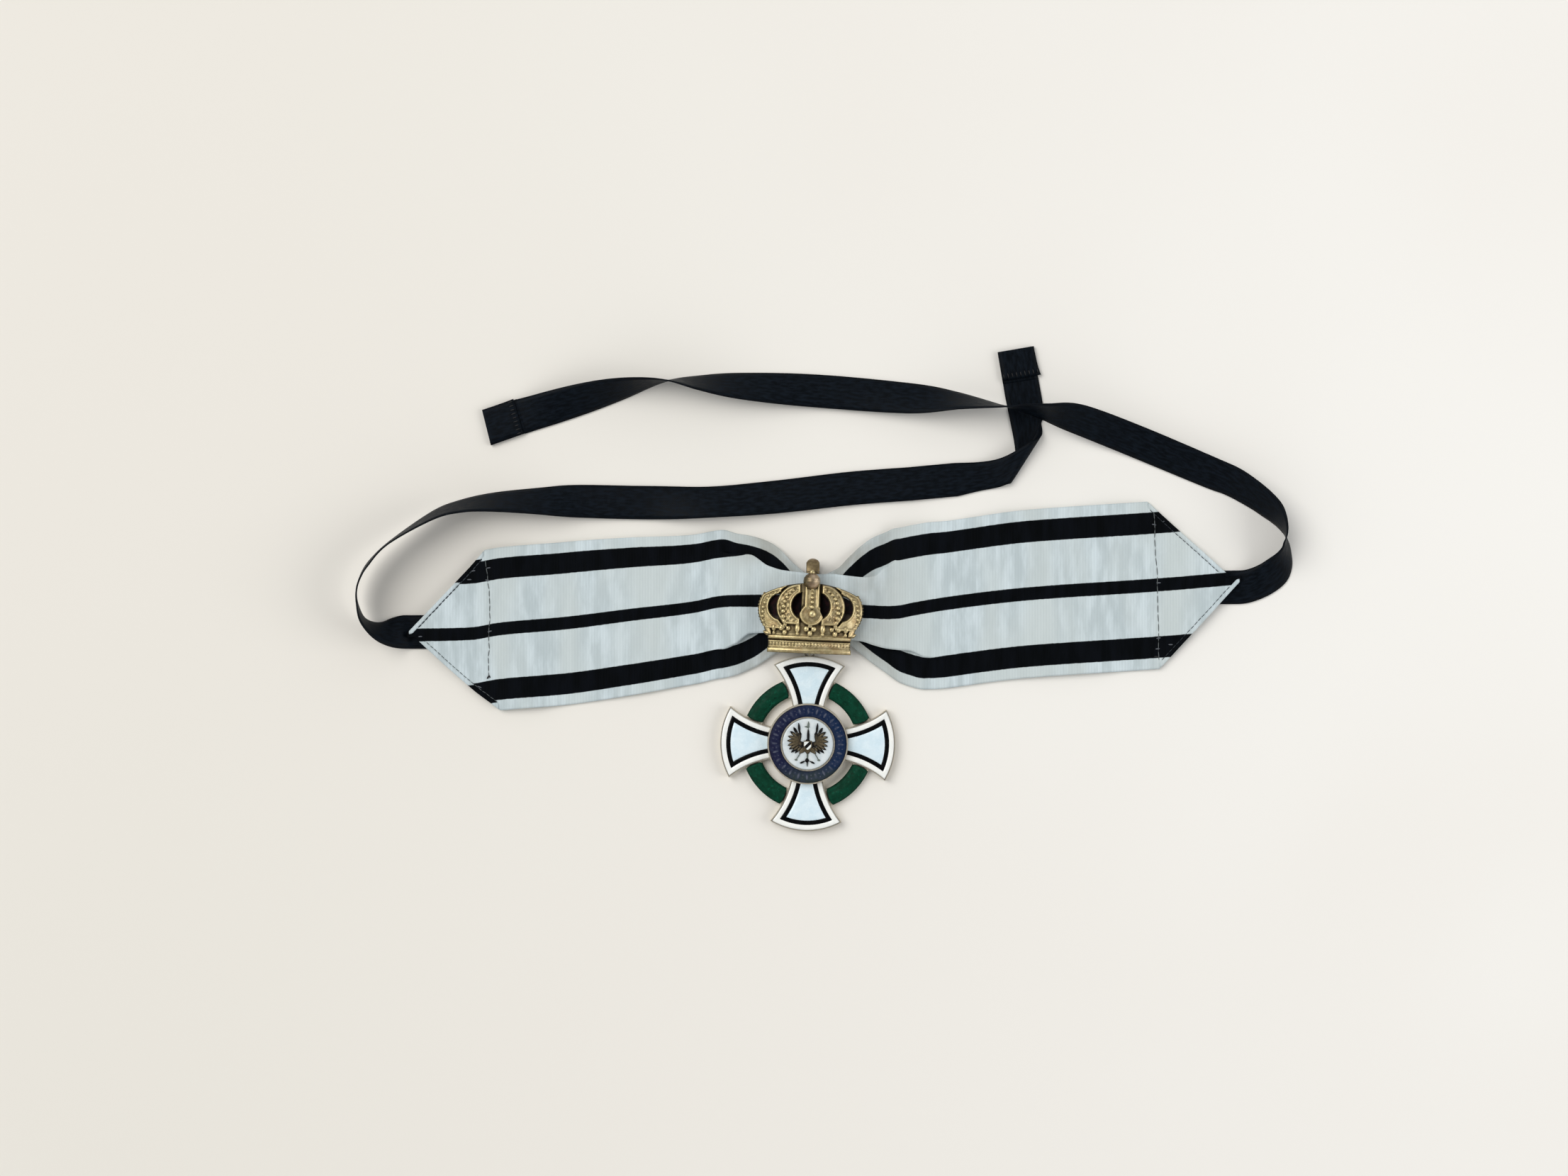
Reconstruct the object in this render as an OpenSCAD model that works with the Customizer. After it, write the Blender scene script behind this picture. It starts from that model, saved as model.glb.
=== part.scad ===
/* [Cross] */
// distance from the centre of the cross to the middle of an arm's end
cross_reach = 27; // [20:0.5:40]
// how far the cross is turned, seen from above
cross_turn = -1.3; // [-10:0.1:10]
// thickness of the cross from its back to the top of its rims
cross_thick = 2.7; // [2:0.1:4]
// width of the gilt rim round each arm
rim_w = 0.25; // [0.2:0.05:0.6]
// width of the white border inside the rim
border_w = 1.6; // [0.8:0.05:2]
// width of the black band inside the white border
band_w = 1.35; // [0.8:0.05:2]

/* [Centre] */
// radius of the round centre
centre_r = 12.4; // [10:0.1:14]
// radius of the white disc in the centre
disc_r = 8; // [6:0.1:10]
// height of the centre's rims above the back of the cross
centre_top = 4.6; // [3.5:0.1:6]

/* [Wreath] */
// inner radius of the leaf wreath
wreath_in = 15.2; // [14:0.1:17]
// outer radius of the leaf wreath
wreath_out = 20.6; // [18:0.1:23]
// leaves in each row of a quarter of the wreath
wreath_leaves = 5; // [4:1:7]
// width of the gilt strip between an arm and the end of the enamel
wreath_end = 0.7; // [0.4:0.1:1.2]

/* [Crown] */
// width of the crown's base band
crown_base_w = 25.2; // [20:0.2:32]
// height of the base band
crown_base_h = 5.9; // [4:0.1:8]
// half the distance between the two rounded shoulders of the crown
crown_spread = 7.5; // [5:0.1:10]
// radius of the crown's rounded shoulders
crown_shoulder_r = 8.5; // [6:0.1:10]
// how far the crown is turned, seen from above
crown_turn = -2.4; // [-10:0.1:10]
// height of the crown's back above the table
crown_lift = 5.5; // [5.5:0.1:7]
// beads along the base band
base_beads = 17; // [9:2:21]

/* [Ribbon] */
// half of the ribbon's width
ribbon_half = 26; // [20:0.5:30]
// thickness of the modelled cloth
cloth_t = 1; // [1:0.1:1.2]
// radius of a pleat's fold, measured at the middle of the cloth
pleat_r = 0.575; // [0.575:0.025:0.8]

/* [Ties] */
// half of a tie tape's width
tape_half = 5.2; // [4:0.1:6]

/* [Hidden] */
$fn = 64;
end_r = 22;
end_y = cross_reach - end_r;
side_r = 27.4;
side_x = 31.85;
side_y = 6.34;
cell_z = 1.5;
wreath_z = 1.1;
wreath_mid = (wreath_in + wreath_out) / 2;
wreath_half = (wreath_out - wreath_in) / 2;
wreath_rise = 1.45;
wreath_bow = (wreath_half * wreath_half + 0.64) / 1.6;
crown_x = 0.3;
crown_y = 27.9;
loop_y = 52.85;
loop_w = 4;
knob_y = 24.9;
knob_r = 0.95;
lying_z = 0.05 + cloth_t / 2;
dome_r = 34;
dome_top = 4.6;
gilt = [0.62, 0.54, 0.38];
white_glaze = [0.88, 0.93, 0.96];
black_glaze = [0.05, 0.06, 0.07];

// one arm of the cross along +Y, with its outline moved in by the inset
module arm_2d(inset) {
    intersection() {
        translate([0, end_y]) circle(r = end_r - inset, $fn = 128);
        difference() {
            translate([-13, 0]) square([26, 30]);
            translate([side_x, side_y]) circle(r = side_r + inset, $fn = 128);
            translate([-side_x, side_y]) circle(r = side_r + inset, $fn = 128);
        }
    }
}

module side(k) {
    rotate([0, 0, cross_turn + 90 * k]) children();
}

module small_eye(r, wire) {
    rotate_extrude($fn = 32) translate([r, 0]) circle(r = wire, $fn = 16);
}

module wreath_ring_2d(inset) {
    difference() {
        circle(r = wreath_out - inset, $fn = 128);
        circle(r = wreath_in + inset, $fn = 128);
    }
}

module cross_frame() {
    color(gilt) union() {
        rotate([0, 0, cross_turn]) {
            cylinder(r = centre_r, h = cross_thick, $fn = 128);
            linear_extrude(wreath_z) wreath_ring_2d(0.2);
            difference() {
                translate([0, cross_reach + 1.2, 1.6]) small_eye(1.5, 0.28);
                translate([0, 0, cell_z]) linear_extrude(3) arm_2d(rim_w);
            }
        }
        for (k = [0:3]) side(k) linear_extrude(wreath_z + 0.8) difference() {
            intersection() {
                arm_2d(0.05 - wreath_end);
                wreath_ring_2d(0.1);
            }
            arm_2d(0.1);
        }
        for (k = [0:3]) side(k) difference() {
            linear_extrude(cross_thick) arm_2d(0);
            translate([0, 0, cell_z]) linear_extrude(3) difference() {
                arm_2d(rim_w);
                circle(r = centre_r - 0.1, $fn = 128);
            }
        }
    }
}

// one enamel layer of an arm, from one inset to the next
module arm_layer(k, from, to, top) {
    side(k) translate([0, 0, cell_z]) linear_extrude(top - cell_z) difference() {
        arm_2d(from);
        if (to > 0) arm_2d(to);
        circle(r = centre_r, $fn = 128);
    }
}

module border(k) {
    color(white_glaze) arm_layer(k, rim_w, rim_w + border_w, 2.6);
}

module band(k) {
    color(black_glaze) arm_layer(k, rim_w + border_w, rim_w + border_w + band_w, 2.5);
}

module field(k) {
    color([0.84, 0.91, 0.95]) arm_layer(k, rim_w + border_w + band_w, 0, 2.6);
}

module border_up() {
    border(0);
}

module border_left() {
    border(1);
}

module border_down() {
    border(2);
}

module border_right() {
    border(3);
}

module band_up() {
    band(0);
}

module band_left() {
    band(1);
}

module band_down() {
    band(2);
}

module band_right() {
    band(3);
}

module field_up() {
    field(0);
}

module field_left() {
    field(1);
}

module field_down() {
    field(2);
}

module field_right() {
    field(3);
}

// a pointed leaf along +Y with its foot at the origin
module leaf_2d(len, wid) {
    bow = (len * len / 4 + wid * wid / 4) / wid;
    translate([0, len / 2]) intersection() {
        translate([bow - wid / 2, 0]) circle(r = bow, $fn = 48);
        translate([wid / 2 - bow, 0]) circle(r = bow, $fn = 48);
    }
}

// rounded band of the wreath over one quarter, raised by the lift
module wreath_band(lift) {
    rotate([0, 0, 102]) rotate_extrude(angle = 66, $fn = 128) translate([wreath_mid, 0]) intersection() {
        translate([-wreath_half, 0]) square([2 * wreath_half, 3]);
        translate([0, wreath_rise + lift - wreath_bow]) circle(r = wreath_bow, $fn = 64);
    }
}

// three rows of low leaves over one quarter
module low_leaves() {
    step = 66 / wreath_leaves;
    for (row = [0:2], i = [0:wreath_leaves])
        rotate([0, 0, 100 + step * (i + (row == 1 ? 0.5 : 0))])
            translate([wreath_in + 1.0 + row * 1.7, 0, 0.2]) rotate([0, 0, (row - 1) * -22])
                linear_extrude(3) leaf_2d(4.6, 1.7);
}

// a quarter of the wreath, cut back from the arms beside it
module wreath(k) {
    color([0.03, 0.21, 0.15]) side(k) translate([0, 0, wreath_z]) difference() {
        union() {
            wreath_band(0);
            intersection() {
                wreath_band(0.18);
                low_leaves();
            }
        }
        for (q = [0, 90]) rotate([0, 0, q]) translate([0, 0, -1]) linear_extrude(6) arm_2d(-wreath_end);
    }
}

module wreath_up_left() {
    wreath(0);
}

module wreath_down_left() {
    wreath(1);
}

module wreath_down_right() {
    wreath(2);
}

module wreath_up_right() {
    wreath(3);
}

module centre_cup() {
    color(gilt) translate([0, 0, cross_thick]) union() {
        cylinder(r = centre_r, h = 0.5, $fn = 128);
        difference() {
            cylinder(r = centre_r, h = centre_top - cross_thick, $fn = 128);
            translate([0, 0, -1]) cylinder(r = centre_r - 0.4, h = 5, $fn = 128);
        }
        difference() {
            cylinder(r = disc_r + 0.35, h = centre_top - cross_thick, $fn = 128);
            translate([0, 0, -1]) cylinder(r = disc_r, h = 5, $fn = 128);
        }
    }
}

module motto_ring() {
    color([0.09, 0.15, 0.25]) translate([0, 0, cross_thick + 0.5]) difference() {
        cylinder(r = centre_r - 0.4, h = 1.2, $fn = 128);
        translate([0, 0, -1]) cylinder(r = disc_r + 0.35, h = 4, $fn = 128);
    }
}

module centre_disc() {
    color(white_glaze) translate([0, 0, cross_thick + 0.5])
        cylinder(r = disc_r, h = 1.2, $fn = 128);
}

// feathers of one wing: foot x and y, tip x and y, width
feathers = [[2.5, 2.4, 2.95, 6.5, 0.75], [2.8, 2.1, 4.5, 5.15, 0.9], [2.9, 1.7, 5.5, 3.85, 1],
    [2.9, 1.3, 6.15, 2.3, 1], [2.9, 1, 6.35, 0.85, 1], [2.7, 0.7, 6.15, -0.6, 1],
    [2.4, 0.3, 5.75, -1.75, 0.95], [2, 0, 5.1, -2.75, 0.9], [1.4, -0.2, 3.9, -2.95, 0.9]];

module blade_2d(b) {
    dx = b[2] - b[0];
    dy = b[3] - b[1];
    translate([b[0], b[1]]) rotate([0, 0, -atan2(dx, dy)]) leaf_2d(sqrt(dx * dx + dy * dy), b[4]);
}

module eagle_half_2d() {
    for (f = feathers) blade_2d(f);
    translate([3.5, 0.9]) circle(r = 1.6, $fn = 32);
    blade_2d([0.2, -0.8, 3.6, 0.6, 1.6]);
    blade_2d([2.8, -0.6, 2.4, 3.9, 1.2]);
    blade_2d([0.2, -0.6, 2.6, -3.0, 1.5]);
    blade_2d([1.9, -2.2, 3.5, -4.9, 0.5]);
    translate([3.5, -4.9]) circle(r = 0.4, $fn = 24);
    blade_2d([0, -4.9, 2.3, -6.0, 0.7]);
}

module eagle() {
    color([0.12, 0.1, 0.07]) translate([0, 0, cross_thick + 1.7]) rotate([0, 0, cross_turn])
        linear_extrude(0.5) union() {
            eagle_half_2d();
            mirror([1, 0]) eagle_half_2d();
            translate([0, -0.3]) circle(r = 1.4, $fn = 32);
            blade_2d([0, 1.8, 0, -3.4, 2.6]);
            blade_2d([0.1, 0.2, 0, 5.6, 1.0]);
            translate([0, 5.4]) circle(r = 0.5, $fn = 24);
            blade_2d([0.2, 5.4, -1.2, 5.2, 0.5]);
            blade_2d([0.1, 5.2, 0.1, 7.0, 0.6]);
            blade_2d([0, -2.2, 0, -7.0, 0.7]);
            translate([0, -5]) circle(r = 0.6, $fn = 24);
        }
}

module crown_place() {
    translate([crown_x, crown_y, crown_lift]) rotate([0, 0, crown_turn]) children();
}

// outline of the crown above its base band
module crown_body_2d(inset) {
    intersection() {
        translate([0, -8.4]) circle(r = 30 - inset, $fn = 128);
        translate([0, 13.2]) union() {
            translate([crown_spread, 0]) circle(r = crown_shoulder_r - inset);
            translate([-crown_spread, 0]) circle(r = crown_shoulder_r - inset);
            translate([-crown_spread, -crown_shoulder_r + inset])
                square([2 * crown_spread, 2 * (crown_shoulder_r - inset)]);
        }
    }
}

// one inner and one outer opening between the arches, grown by g
module inner_opening_2d(g) {
    intersection() {
        translate([1.6, 14.6]) circle(r = 4.2 + g);
        translate([2.6 - g, 8]) square([6, 12]);
    }
}

module outer_opening_2d(g) {
    intersection() {
        translate([9.0, 14.1]) circle(r = 3.9 + g);
        difference() {
            translate([9.5 - g, 5]) square([8, 20]);
            translate([3.6, 14.2]) circle(r = 7 - g);
        }
    }
}

module both_sides() {
    children();
    mirror([1, 0, 0]) children();
}

// everything on the crown is cut from this shallow dome, so its front is bowed
module dome(rise) {
    translate([0, 10, dome_top - dome_r + rise]) sphere(r = dome_r, $fn = 128);
}

module bowed_bar(w, y0, y1, front) {
    translate([0, y1, 0]) rotate([90, 0, 0]) linear_extrude(y1 - y0) intersection() {
        translate([-w / 2, 0]) square([w, 10]);
        translate([0, front - dome_r]) circle(r = dome_r, $fn = 128);
    }
}

function bow_z(x, front) = front - dome_r + sqrt(dome_r * dome_r - x * x);
function dome_z(x, y, rise) = dome_top - dome_r + rise + sqrt(dome_r * dome_r - x * x - (y - 10) * (y - 10));

// pearls of one side: x, y, radius
arch_pearls = [
    [8.1, 11.2, 0.9], [8.2, 13.0, 0.75], [8.1, 14.8, 0.7], [7.7, 16.5, 0.65], [6.8, 18.1, 0.6],
    [14.2, 9.2, 0.7], [14.5, 10.9, 0.7], [14.5, 12.6, 0.7], [14.3, 14.3, 0.65], [13.6, 15.9, 0.6]];
// small leaf ornaments above the base band: x, height, width
fleurons = [[3.9, 2.6, 1.5], [7.9, 4.0, 2.6], [11.4, 2.8, 1.5]];

module crown() {
    step = (crown_base_w - 2) / (base_beads - 1);
    color(gilt) crown_place() union() {
        bowed_bar(crown_base_w, 0, crown_base_h, 3.1);
        bowed_bar(crown_base_w + 0.5, 0, 1.35, 3.9);
        bowed_bar(crown_base_w + 0.3, crown_base_h - 1.7, crown_base_h, 3.9);
        for (k = [0:base_beads - 1])
            translate([step * k - (crown_base_w - 2) / 2, 2.75,
                bow_z(step * k - (crown_base_w - 2) / 2, 3.1)]) sphere(r = 0.6, $fn = 20);
        intersection() {
            dome(0);
            linear_extrude(8) difference() {
                crown_body_2d(0);
                both_sides() inner_opening_2d(0);
                both_sides() outer_opening_2d(0);
            }
        }
        intersection() {
            dome(0.55);
            linear_extrude(8) {
                both_sides() difference() {
                    inner_opening_2d(0.55);
                    inner_opening_2d(0);
                }
                both_sides() difference() {
                    outer_opening_2d(0.5);
                    outer_opening_2d(0);
                }
                difference() {
                    translate([0, 11.6]) circle(r = 3.7, $fn = 48);
                    both_sides() translate([3.4, 14.6]) circle(r = 1.2, $fn = 32);
                    translate([-5, 5]) square([10, 4.4]);
                }
            }
        }
        intersection() {
            dome(0.4);
            linear_extrude(8) {
                both_sides() for (f = fleurons) translate([f[0], 5.4]) leaf_2d(f[1], f[2]);
                translate([0, 5.4]) leaf_2d(4.2, 2.8);
            }
        }
        both_sides() for (p = arch_pearls)
            translate([p[0], p[1], dome_z(p[0], p[1], 0)]) sphere(r = p[2], $fn = 20);
        for (k = [0:3]) translate([0, 14.4 + 1.75 * k, dome_z(0, 14.4 + 1.75 * k, 0.1)])
            sphere(r = 0.75, $fn = 20);
        translate([0, 12, dome_z(0, 12, 0.5)]) sphere(r = 1.1, $fn = 24);
        translate([0, 22.2, 2.5]) sphere(r = 2.6, $fn = 48);
        translate([0, knob_y, 2.5]) sphere(r = knob_r, $fn = 24);
        translate([-2.3, 20.8, 0]) cube([4.6, 1.5, 1.5]);
        translate([0, 2.4, -1.4]) small_eye(1.3, 0.25);
        for (s = [-1, 1]) translate([1.3 * s, 2.4, -1.4]) cylinder(r = 0.3, h = 1.6, $fn = 16);
    }
}

module crown_lining() {
    color([0.07, 0.04, 0.06]) crown_place() translate([0, 0, -0.35])
        linear_extrude(0.3) difference() {
            crown_body_2d(2.2);
            translate([-20, -2]) square([40, 10]);
            translate([-2.2, 18]) square([4.4, 8]);
        }
}

// strap loop round the gathered ribbon, soldered to the crown's knob, with its upper end rounded
module crown_loop() {
    zt = crown_lift + 3.1;
    color([0.5, 0.42, 0.28]) difference() {
        translate([crown_x + loop_w / 2 - 0.7, 0, 0]) intersection() {
            translate([-loop_w / 2, 0, 0]) rotate([90, 0, 90]) linear_extrude(loop_w) difference() {
                union() {
                    translate([loop_y, zt / 2]) intersection() {
                        circle(r = 4.25);
                        translate([-6, -zt / 2 + 0.1]) square([12, zt - 0.2]);
                    }
                    translate([32.05, 0.1]) square([loop_y - 32.05, 1]);
                    translate([32.05, 0.1]) square([0.6, crown_lift - 0.3]);
                }
                translate([32.65, 1.1]) square([loop_y - 32.65, 9]);
                translate([loop_y, zt / 2]) circle(r = 3.25);
            }
            linear_extrude(10) union() {
                translate([-loop_w / 2 - 1, 30]) square([loop_w + 2, loop_y - 30 + 2]);
                translate([0, loop_y + 2.15]) circle(r = loop_w / 2 + 0.15);
            }
        }
        crown_place() translate([0, knob_y, 2.5]) sphere(r = knob_r + 0.03, $fn = 24);
    }
}

module link() {
    color(gilt) translate([crown_x + 0.2, 29.375, 2.85]) rotate([0, 90, 0])
        rotate_extrude($fn = 48) translate([1.94, 0]) circle(r = 0.25, $fn = 16);
}

// ribbon rows: x, y of the middle, width factor up, width factor down, then for the upper half
// the place of the fold and the depth hidden in the pleat, the same two for the lower half,
// and the height of the lowest layer above the table
rows = [
    [-123.4, 33.5, 0.97, 0.97, 16, 0, 16, 0, 1.75],
    [-113, 33.6, 0.97, 0.97, 16, 0, 16, 0, 1.6],
    [-104, 33.9, 0.97, 0.97, 16, 0, 16, 0, 0.5],
    [-95.5, 35.3, 0.97, 0.97, 16, 0, 16, 0, 0.05],
    [-74.4, 37.2, 0.965, 0.975, 16, 0, 16, 0, 0.05],
    [-55, 39.7, 0.92, 0.96, 15.5, 0, 15.5, 0, 0.05],
    [-34.9, 42.2, 0.86, 0.92, 15, 0, 15.2, 0, 0.05],
    [-27.2, 43.8, 0.85, 0.92, 14.9, 0, 14.7, 0.1, 0.05],
    [-22.6, 44.1, 0.86, 0.93, 14.9, 0.9, 13.7, 0.65, 0.1],
    [-17.7, 44.1, 0.9, 0.95, 14.4, 1.85, 10.4, 1.8, 0.4],
    [-11.9, 44, 0.95, 1, 11, 3.4, 10.1, 4.25, 1],
    [-7.3, 43.7, 1, 1, 10, 5.45, 10, 5.75, 1.4],
    [-4.2, 43.4, 1, 1, 9.9, 6.95, 9.9, 7, 1.7],
    [1.5, 42.7, 1, 1, 9.9, 8.5, 9.4, 8.6, 1.75],
    [9, 41.6, 1, 1, 10.9, 6.85, 9.1, 8.35, 1.6],
    [12.7, 41.1, 1, 1, 10.9, 4.8, 9.3, 7.65, 1.2],
    [16.5, 40.8, 1, 1, 10.8, 2.9, 9.5, 6.35, 0.8],
    [20.3, 40.6, 1, 1, 11.4, 1.5, 10.5, 4.95, 0.4],
    [24.1, 40.4, 1, 1, 14.3, 0.7, 11.3, 3.7, 0.1],
    [28, 40.6, 1, 1, 15.8, 0, 12, 2.2, 0.05],
    [31.6, 41.3, 1, 1, 16, 0, 13, 1.2, 0.05],
    [36, 42.1, 1, 1, 16, 0, 15.4, 0.4, 0.05],
    [44.1, 43.4, 0.98, 1.01, 16, 0, 16.2, 0, 0.05],
    [68.2, 46.2, 1, 1, 16, 0, 16, 0, 0.05],
    [104.7, 48.7, 1, 1, 16, 0, 16, 0, 0.05],
    [114, 49.4, 1, 1, 16, 0, 16, 0, 0.5],
    [123, 50.2, 1, 1, 16, 0, 16, 0, 1.6],
    [133.2, 51.1, 1, 1, 16, 0, 16, 0, 1.75]];

function col(i) = [for (r = rows) [r[0], r[i]]];
function taper(x, left, right, tip_l, tip_r) =
    x < left ? max(0.04, (x - tip_l) / (left - tip_l)) :
    x > right ? max(0.04, (tip_r - x) / (tip_r - right)) : 1;
function turn_of(depth) = max(4, 180 * sqrt(min(1, depth / (PI * pleat_r))));
function radius_of(th) = max(pleat_r, 0.5 / (th * PI / 180));

// one half of a ribbon section: list of [distance from the middle, height, heading]
function half_section(total, fold, depth) =
    let (th = turn_of(depth), r = radius_of(th), lp = max(0, depth - PI * pleat_r),
        sa = fold - 1.05 * min(1, depth / 0.6),
        ya = sa + r * sin(th), za = -r * (1 - cos(th)),
        ym = ya + lp * cos(th), zm = za - lp * sin(th),
        yc = ym + r * sin(th), zc = zm - r * (1 - cos(th)),
        rest = total - sa - 2 * r * th * PI / 180 - lp)
    concat(
        [for (k = [1:3]) [sa * k / 3, 0, 0]],
        [for (k = [1:4]) let (a = th * k / 4) [sa + r * sin(a), -r * (1 - cos(a)), a]],
        [for (k = [0:4]) let (a = th * (1 - k / 4)) if (k > 0 || lp > 0.05)
            [ym + r * (sin(th) - sin(a)), zm - r * (cos(a) - cos(th)), a]],
        lp > 0.05 ? [] : [[yc + rest * 0.15, zc, 0]],
        [for (k = [1:2]) [yc + rest * (0.2 + 0.4 * k), zc, 0]]);

function drop_of(depth) =
    let (th = turn_of(depth), r = radius_of(th), lp = max(0, depth - PI * pleat_r))
    2 * r * (1 - cos(th)) + lp * sin(th);

function section(x) =
    let (mid = lookup(x, col(1)), dt = lookup(x, col(5)), db = lookup(x, col(7)),
        up = half_section(ribbon_half * lookup(x, col(2)), lookup(x, col(4)), dt),
        dn = half_section(ribbon_half * lookup(x, col(3)), lookup(x, col(6)), db),
        kt = taper(x, -99.8, 105, -124.1, 131), kb = taper(x, -94.9, 108.7, -122, 134.4),
        z = lookup(x, col(8)) + cloth_t / 2 + max(drop_of(dt), drop_of(db)),
        n = len(up))
    concat(
        [for (k = [n - 1:-1:0]) [x, mid + kt * up[k][0], z + up[k][1], up[k][2]]],
        [[x, mid, z, 0]],
        [for (k = [0:n - 1]) [x, mid - kb * dn[k][0], z + dn[k][1], -dn[k][2]]]);

function skin(sec) = concat(
    [for (p = sec) [p[0], p[1] + sin(p[3]) * cloth_t / 2, p[2] + cos(p[3]) * cloth_t / 2]],
    [for (k = [len(sec) - 1:-1:0]) let (p = sec[k])
        [p[0], p[1] - sin(p[3]) * cloth_t / 2, p[2] - cos(p[3]) * cloth_t / 2]]);

stations = [-123.8, -119, -114, -109, -104, -99.8, -94.9, -88, -80, -70, -60, -50, -42, -35, -31, -28.5,
    -26, -24, -22, -20, -18, -16, -14, -12, -9.5, -7, -4.2, -1.5, 1.5, 5, 9, 12.7, 14.6, 16.5, 18.4, 20.3,
    22.2, 24.1, 26, 28, 30, 32, 34, 36.5, 40, 44, 52, 62, 75, 90, 105, 108.7, 114, 119, 124, 129, 131, 133.6];

// joins rings of points with the same count into one closed skin
module loft(rings) {
    n = len(rings[0]);
    m = len(rings);
    pts = [for (r = rings) each r];
    half = n / 2;
    sides = [for (i = [0:m - 2], j = [0:n - 1])
        let (a = i * n + j, b = i * n + (j + 1) % n, c = a + n, d = b + n) each [[a, b, d], [a, d, c]]];
    cap_a = [for (j = [0:half - 2])
        let (a = j, b = j + 1, c = n - 2 - j, d = n - 1 - j) each [[a, d, c], [a, c, b]]];
    off = (m - 1) * n;
    cap_b = [for (f = cap_a) [f[2] + off, f[1] + off, f[0] + off]];
    polyhedron(points = pts, faces = concat(sides, cap_a, cap_b), convexity = 12);
}

module ribbon() {
    color([0.82, 0.84, 0.83]) loft([for (x = stations) skin(section(x))]);
}

// left tie: x, y, direction across the tape, tilt of the tape across, half width, lift, thickness
left_run = [
    [-116.5, 34.4, 90, 0, 1, 0, 1],
    [-120.5, 34.4, 90, 0, 1, 0, 1],
    [-124.2, 34.4, 90, -5, 1, 0, 1],
    [-129, 34.6, 85, -38, 1, 0, 1],
    [-132.7, 35.9, 66, -68, 1, 0, 1],
    [-135.6, 38.7, 40, -84, 1, 0, 1],
    [-137.2, 42.5, 18, -88, 1, 0, 1],
    [-137.5, 46.6, 0, -90, 1, 0, 1],
    [-136.5, 50.6, -18, -93, 1, 0, 1],
    [-133.9, 55.3, -35, -95, 1, 0, 1],
    [-127.7, 61.9, -48, -97, 1, 0, 1],
    [-114.9, 70.2, -61, -107, 1, 0, 1],
    [-106.6, 73.1, -73, -114, 1, 0, 1],
    [-97, 74.4, -82, -125, 1, 0, 1],
    [-82.8, 74.8, -89, -143, 1, 0, 1],
    [-70, 74.8, -90, -168, 1, 0, 1],
    [-50, 74.4, -90, -176, 1, 0, 1],
    [-30.5, 74.5, -88, -158, 1, 0, 1],
    [-10, 76.1, -84, -168, 1, 0, 1],
    [13.4, 78.8, -83, -176, 1, 0, 1],
    [31.6, 80.2, -85, -176, 1, 0, 1]];
// left tie on its way to the soft fold: upper edge x, y and its height above the lying cloth,
// then the lower edge in the same way, then the thickness
left_rise = [
    [45.4, 86.7, 0, 46.6, 76.4, 0.1, 1],
    [53.2, 87, 0.5, 53.2, 78, 0, 1],
    [58.8, 87.9, 1.5, 57, 78.7, 0.1, 1],
    [63.6, 90, 2.9, 59.6, 79.3, 0.5, 1],
    [68.6, 93.2, 3.8, 61.8, 80.1, 1.3, 1]];
// and after the fold, to the hemmed tab
left_drop = [
    [72.3, 99.1, 0, 63, 82, 0, 1],
    [73.1, 101.6, 0, 64.3, 86.8, 0, 1],
    [72.9, 104.2, 0, 64.1, 92, 0, 1],
    [72.4, 107.3, 0, 62.9, 98.6, 0, 1],
    [71.8, 110.6, 0, 61.3, 106.5, 0, 1],
    [71.4, 113, 0, 60.5, 111.2, 0, 1],
    [71.2, 113.8, 0.5, 60.3, 112, 0.5, 2],
    [69.9, 122.8, 0.5, 58.8, 120.9, 0.5, 2]];
// direction of the fold's line, radius of the roll at its upper and its lower end, and how far
// the cloth moves along the line for each millimetre that goes round
roll_dir = 58;
roll_up = 1.9;
roll_low = 0.65;
roll_slip = 1.17;
// right tie, with the same columns as the left one
right_run = [
    [126.5, 48.2, 90, 0, 1, 0, 1],
    [131, 48.2, 90, 0, 1, 0, 1],
    [135.8, 48.5, 94, 7, 1, 0, 1],
    [140.8, 50.4, 110, 16, 1, 0, 1],
    [144.7, 53.2, 130, 24, 1, 0, 1],
    [146.6, 56.3, 147, 43, 1, 0, 1],
    [147.2, 59.5, 163, 61, 1, 0, 1],
    [147.1, 61.8, 178, 75, 1, 0, 1],
    [146.9, 64.1, 190, 88, 1, 0, 1],
    [146.2, 66.3, 198, 96, 1, 0, 1],
    [144.9, 68.9, 210, 107, 1, 0, 1],
    [142.9, 71.8, 219, 119, 1, 0, 1],
    [140, 74.6, 230, 127, 1, 0, 1],
    [135.7, 77.8, 238, 135, 1, 0, 1],
    [130.8, 80.8, 243, 143, 1, 0, 1],
    [124.2, 83.6, 246, 150, 1, 0, 1],
    [102, 92.9, 248, 155, 1, 0.5, 1],
    [83.6, 99.6, 252, 146, 1, 3, 1],
    [72.8, 102, 257, 113, 1, 2.4, 1],
    [66, 103.2, 260, 97, 1, 1.8, 1],
    [60.5, 103.7, 263, 84, 1, 1.4, 1],
    [46.3, 105.6, 265, 56, 1, 0.3, 1],
    [30.9, 106.6, 265, 22, 1, 0, 1],
    [5.7, 108.7, 266, 8, 1, 0, 1],
    [-19.6, 110.2, 266, 34, 1, 0, 1],
    [-33, 111.1, 267, 60, 1, 0, 1],
    [-44.1, 111.7, 270, 88, 1, 0, 1],
    [-56.9, 109.4, 281, 122, 1, 0, 1],
    [-70, 106.2, 283, 150, 1, 0, 1],
    [-83.2, 102.6, 285, 172, 1.02, 0, 1],
    [-88.6, 101.1, 286, 179, 1.05, 0, 1],
    [-89.4, 100.9, 286, 180, 1.05, 0.5, 2],
    [-99.3, 97.6, 284, 180, 1.08, 0.5, 2]];

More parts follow.
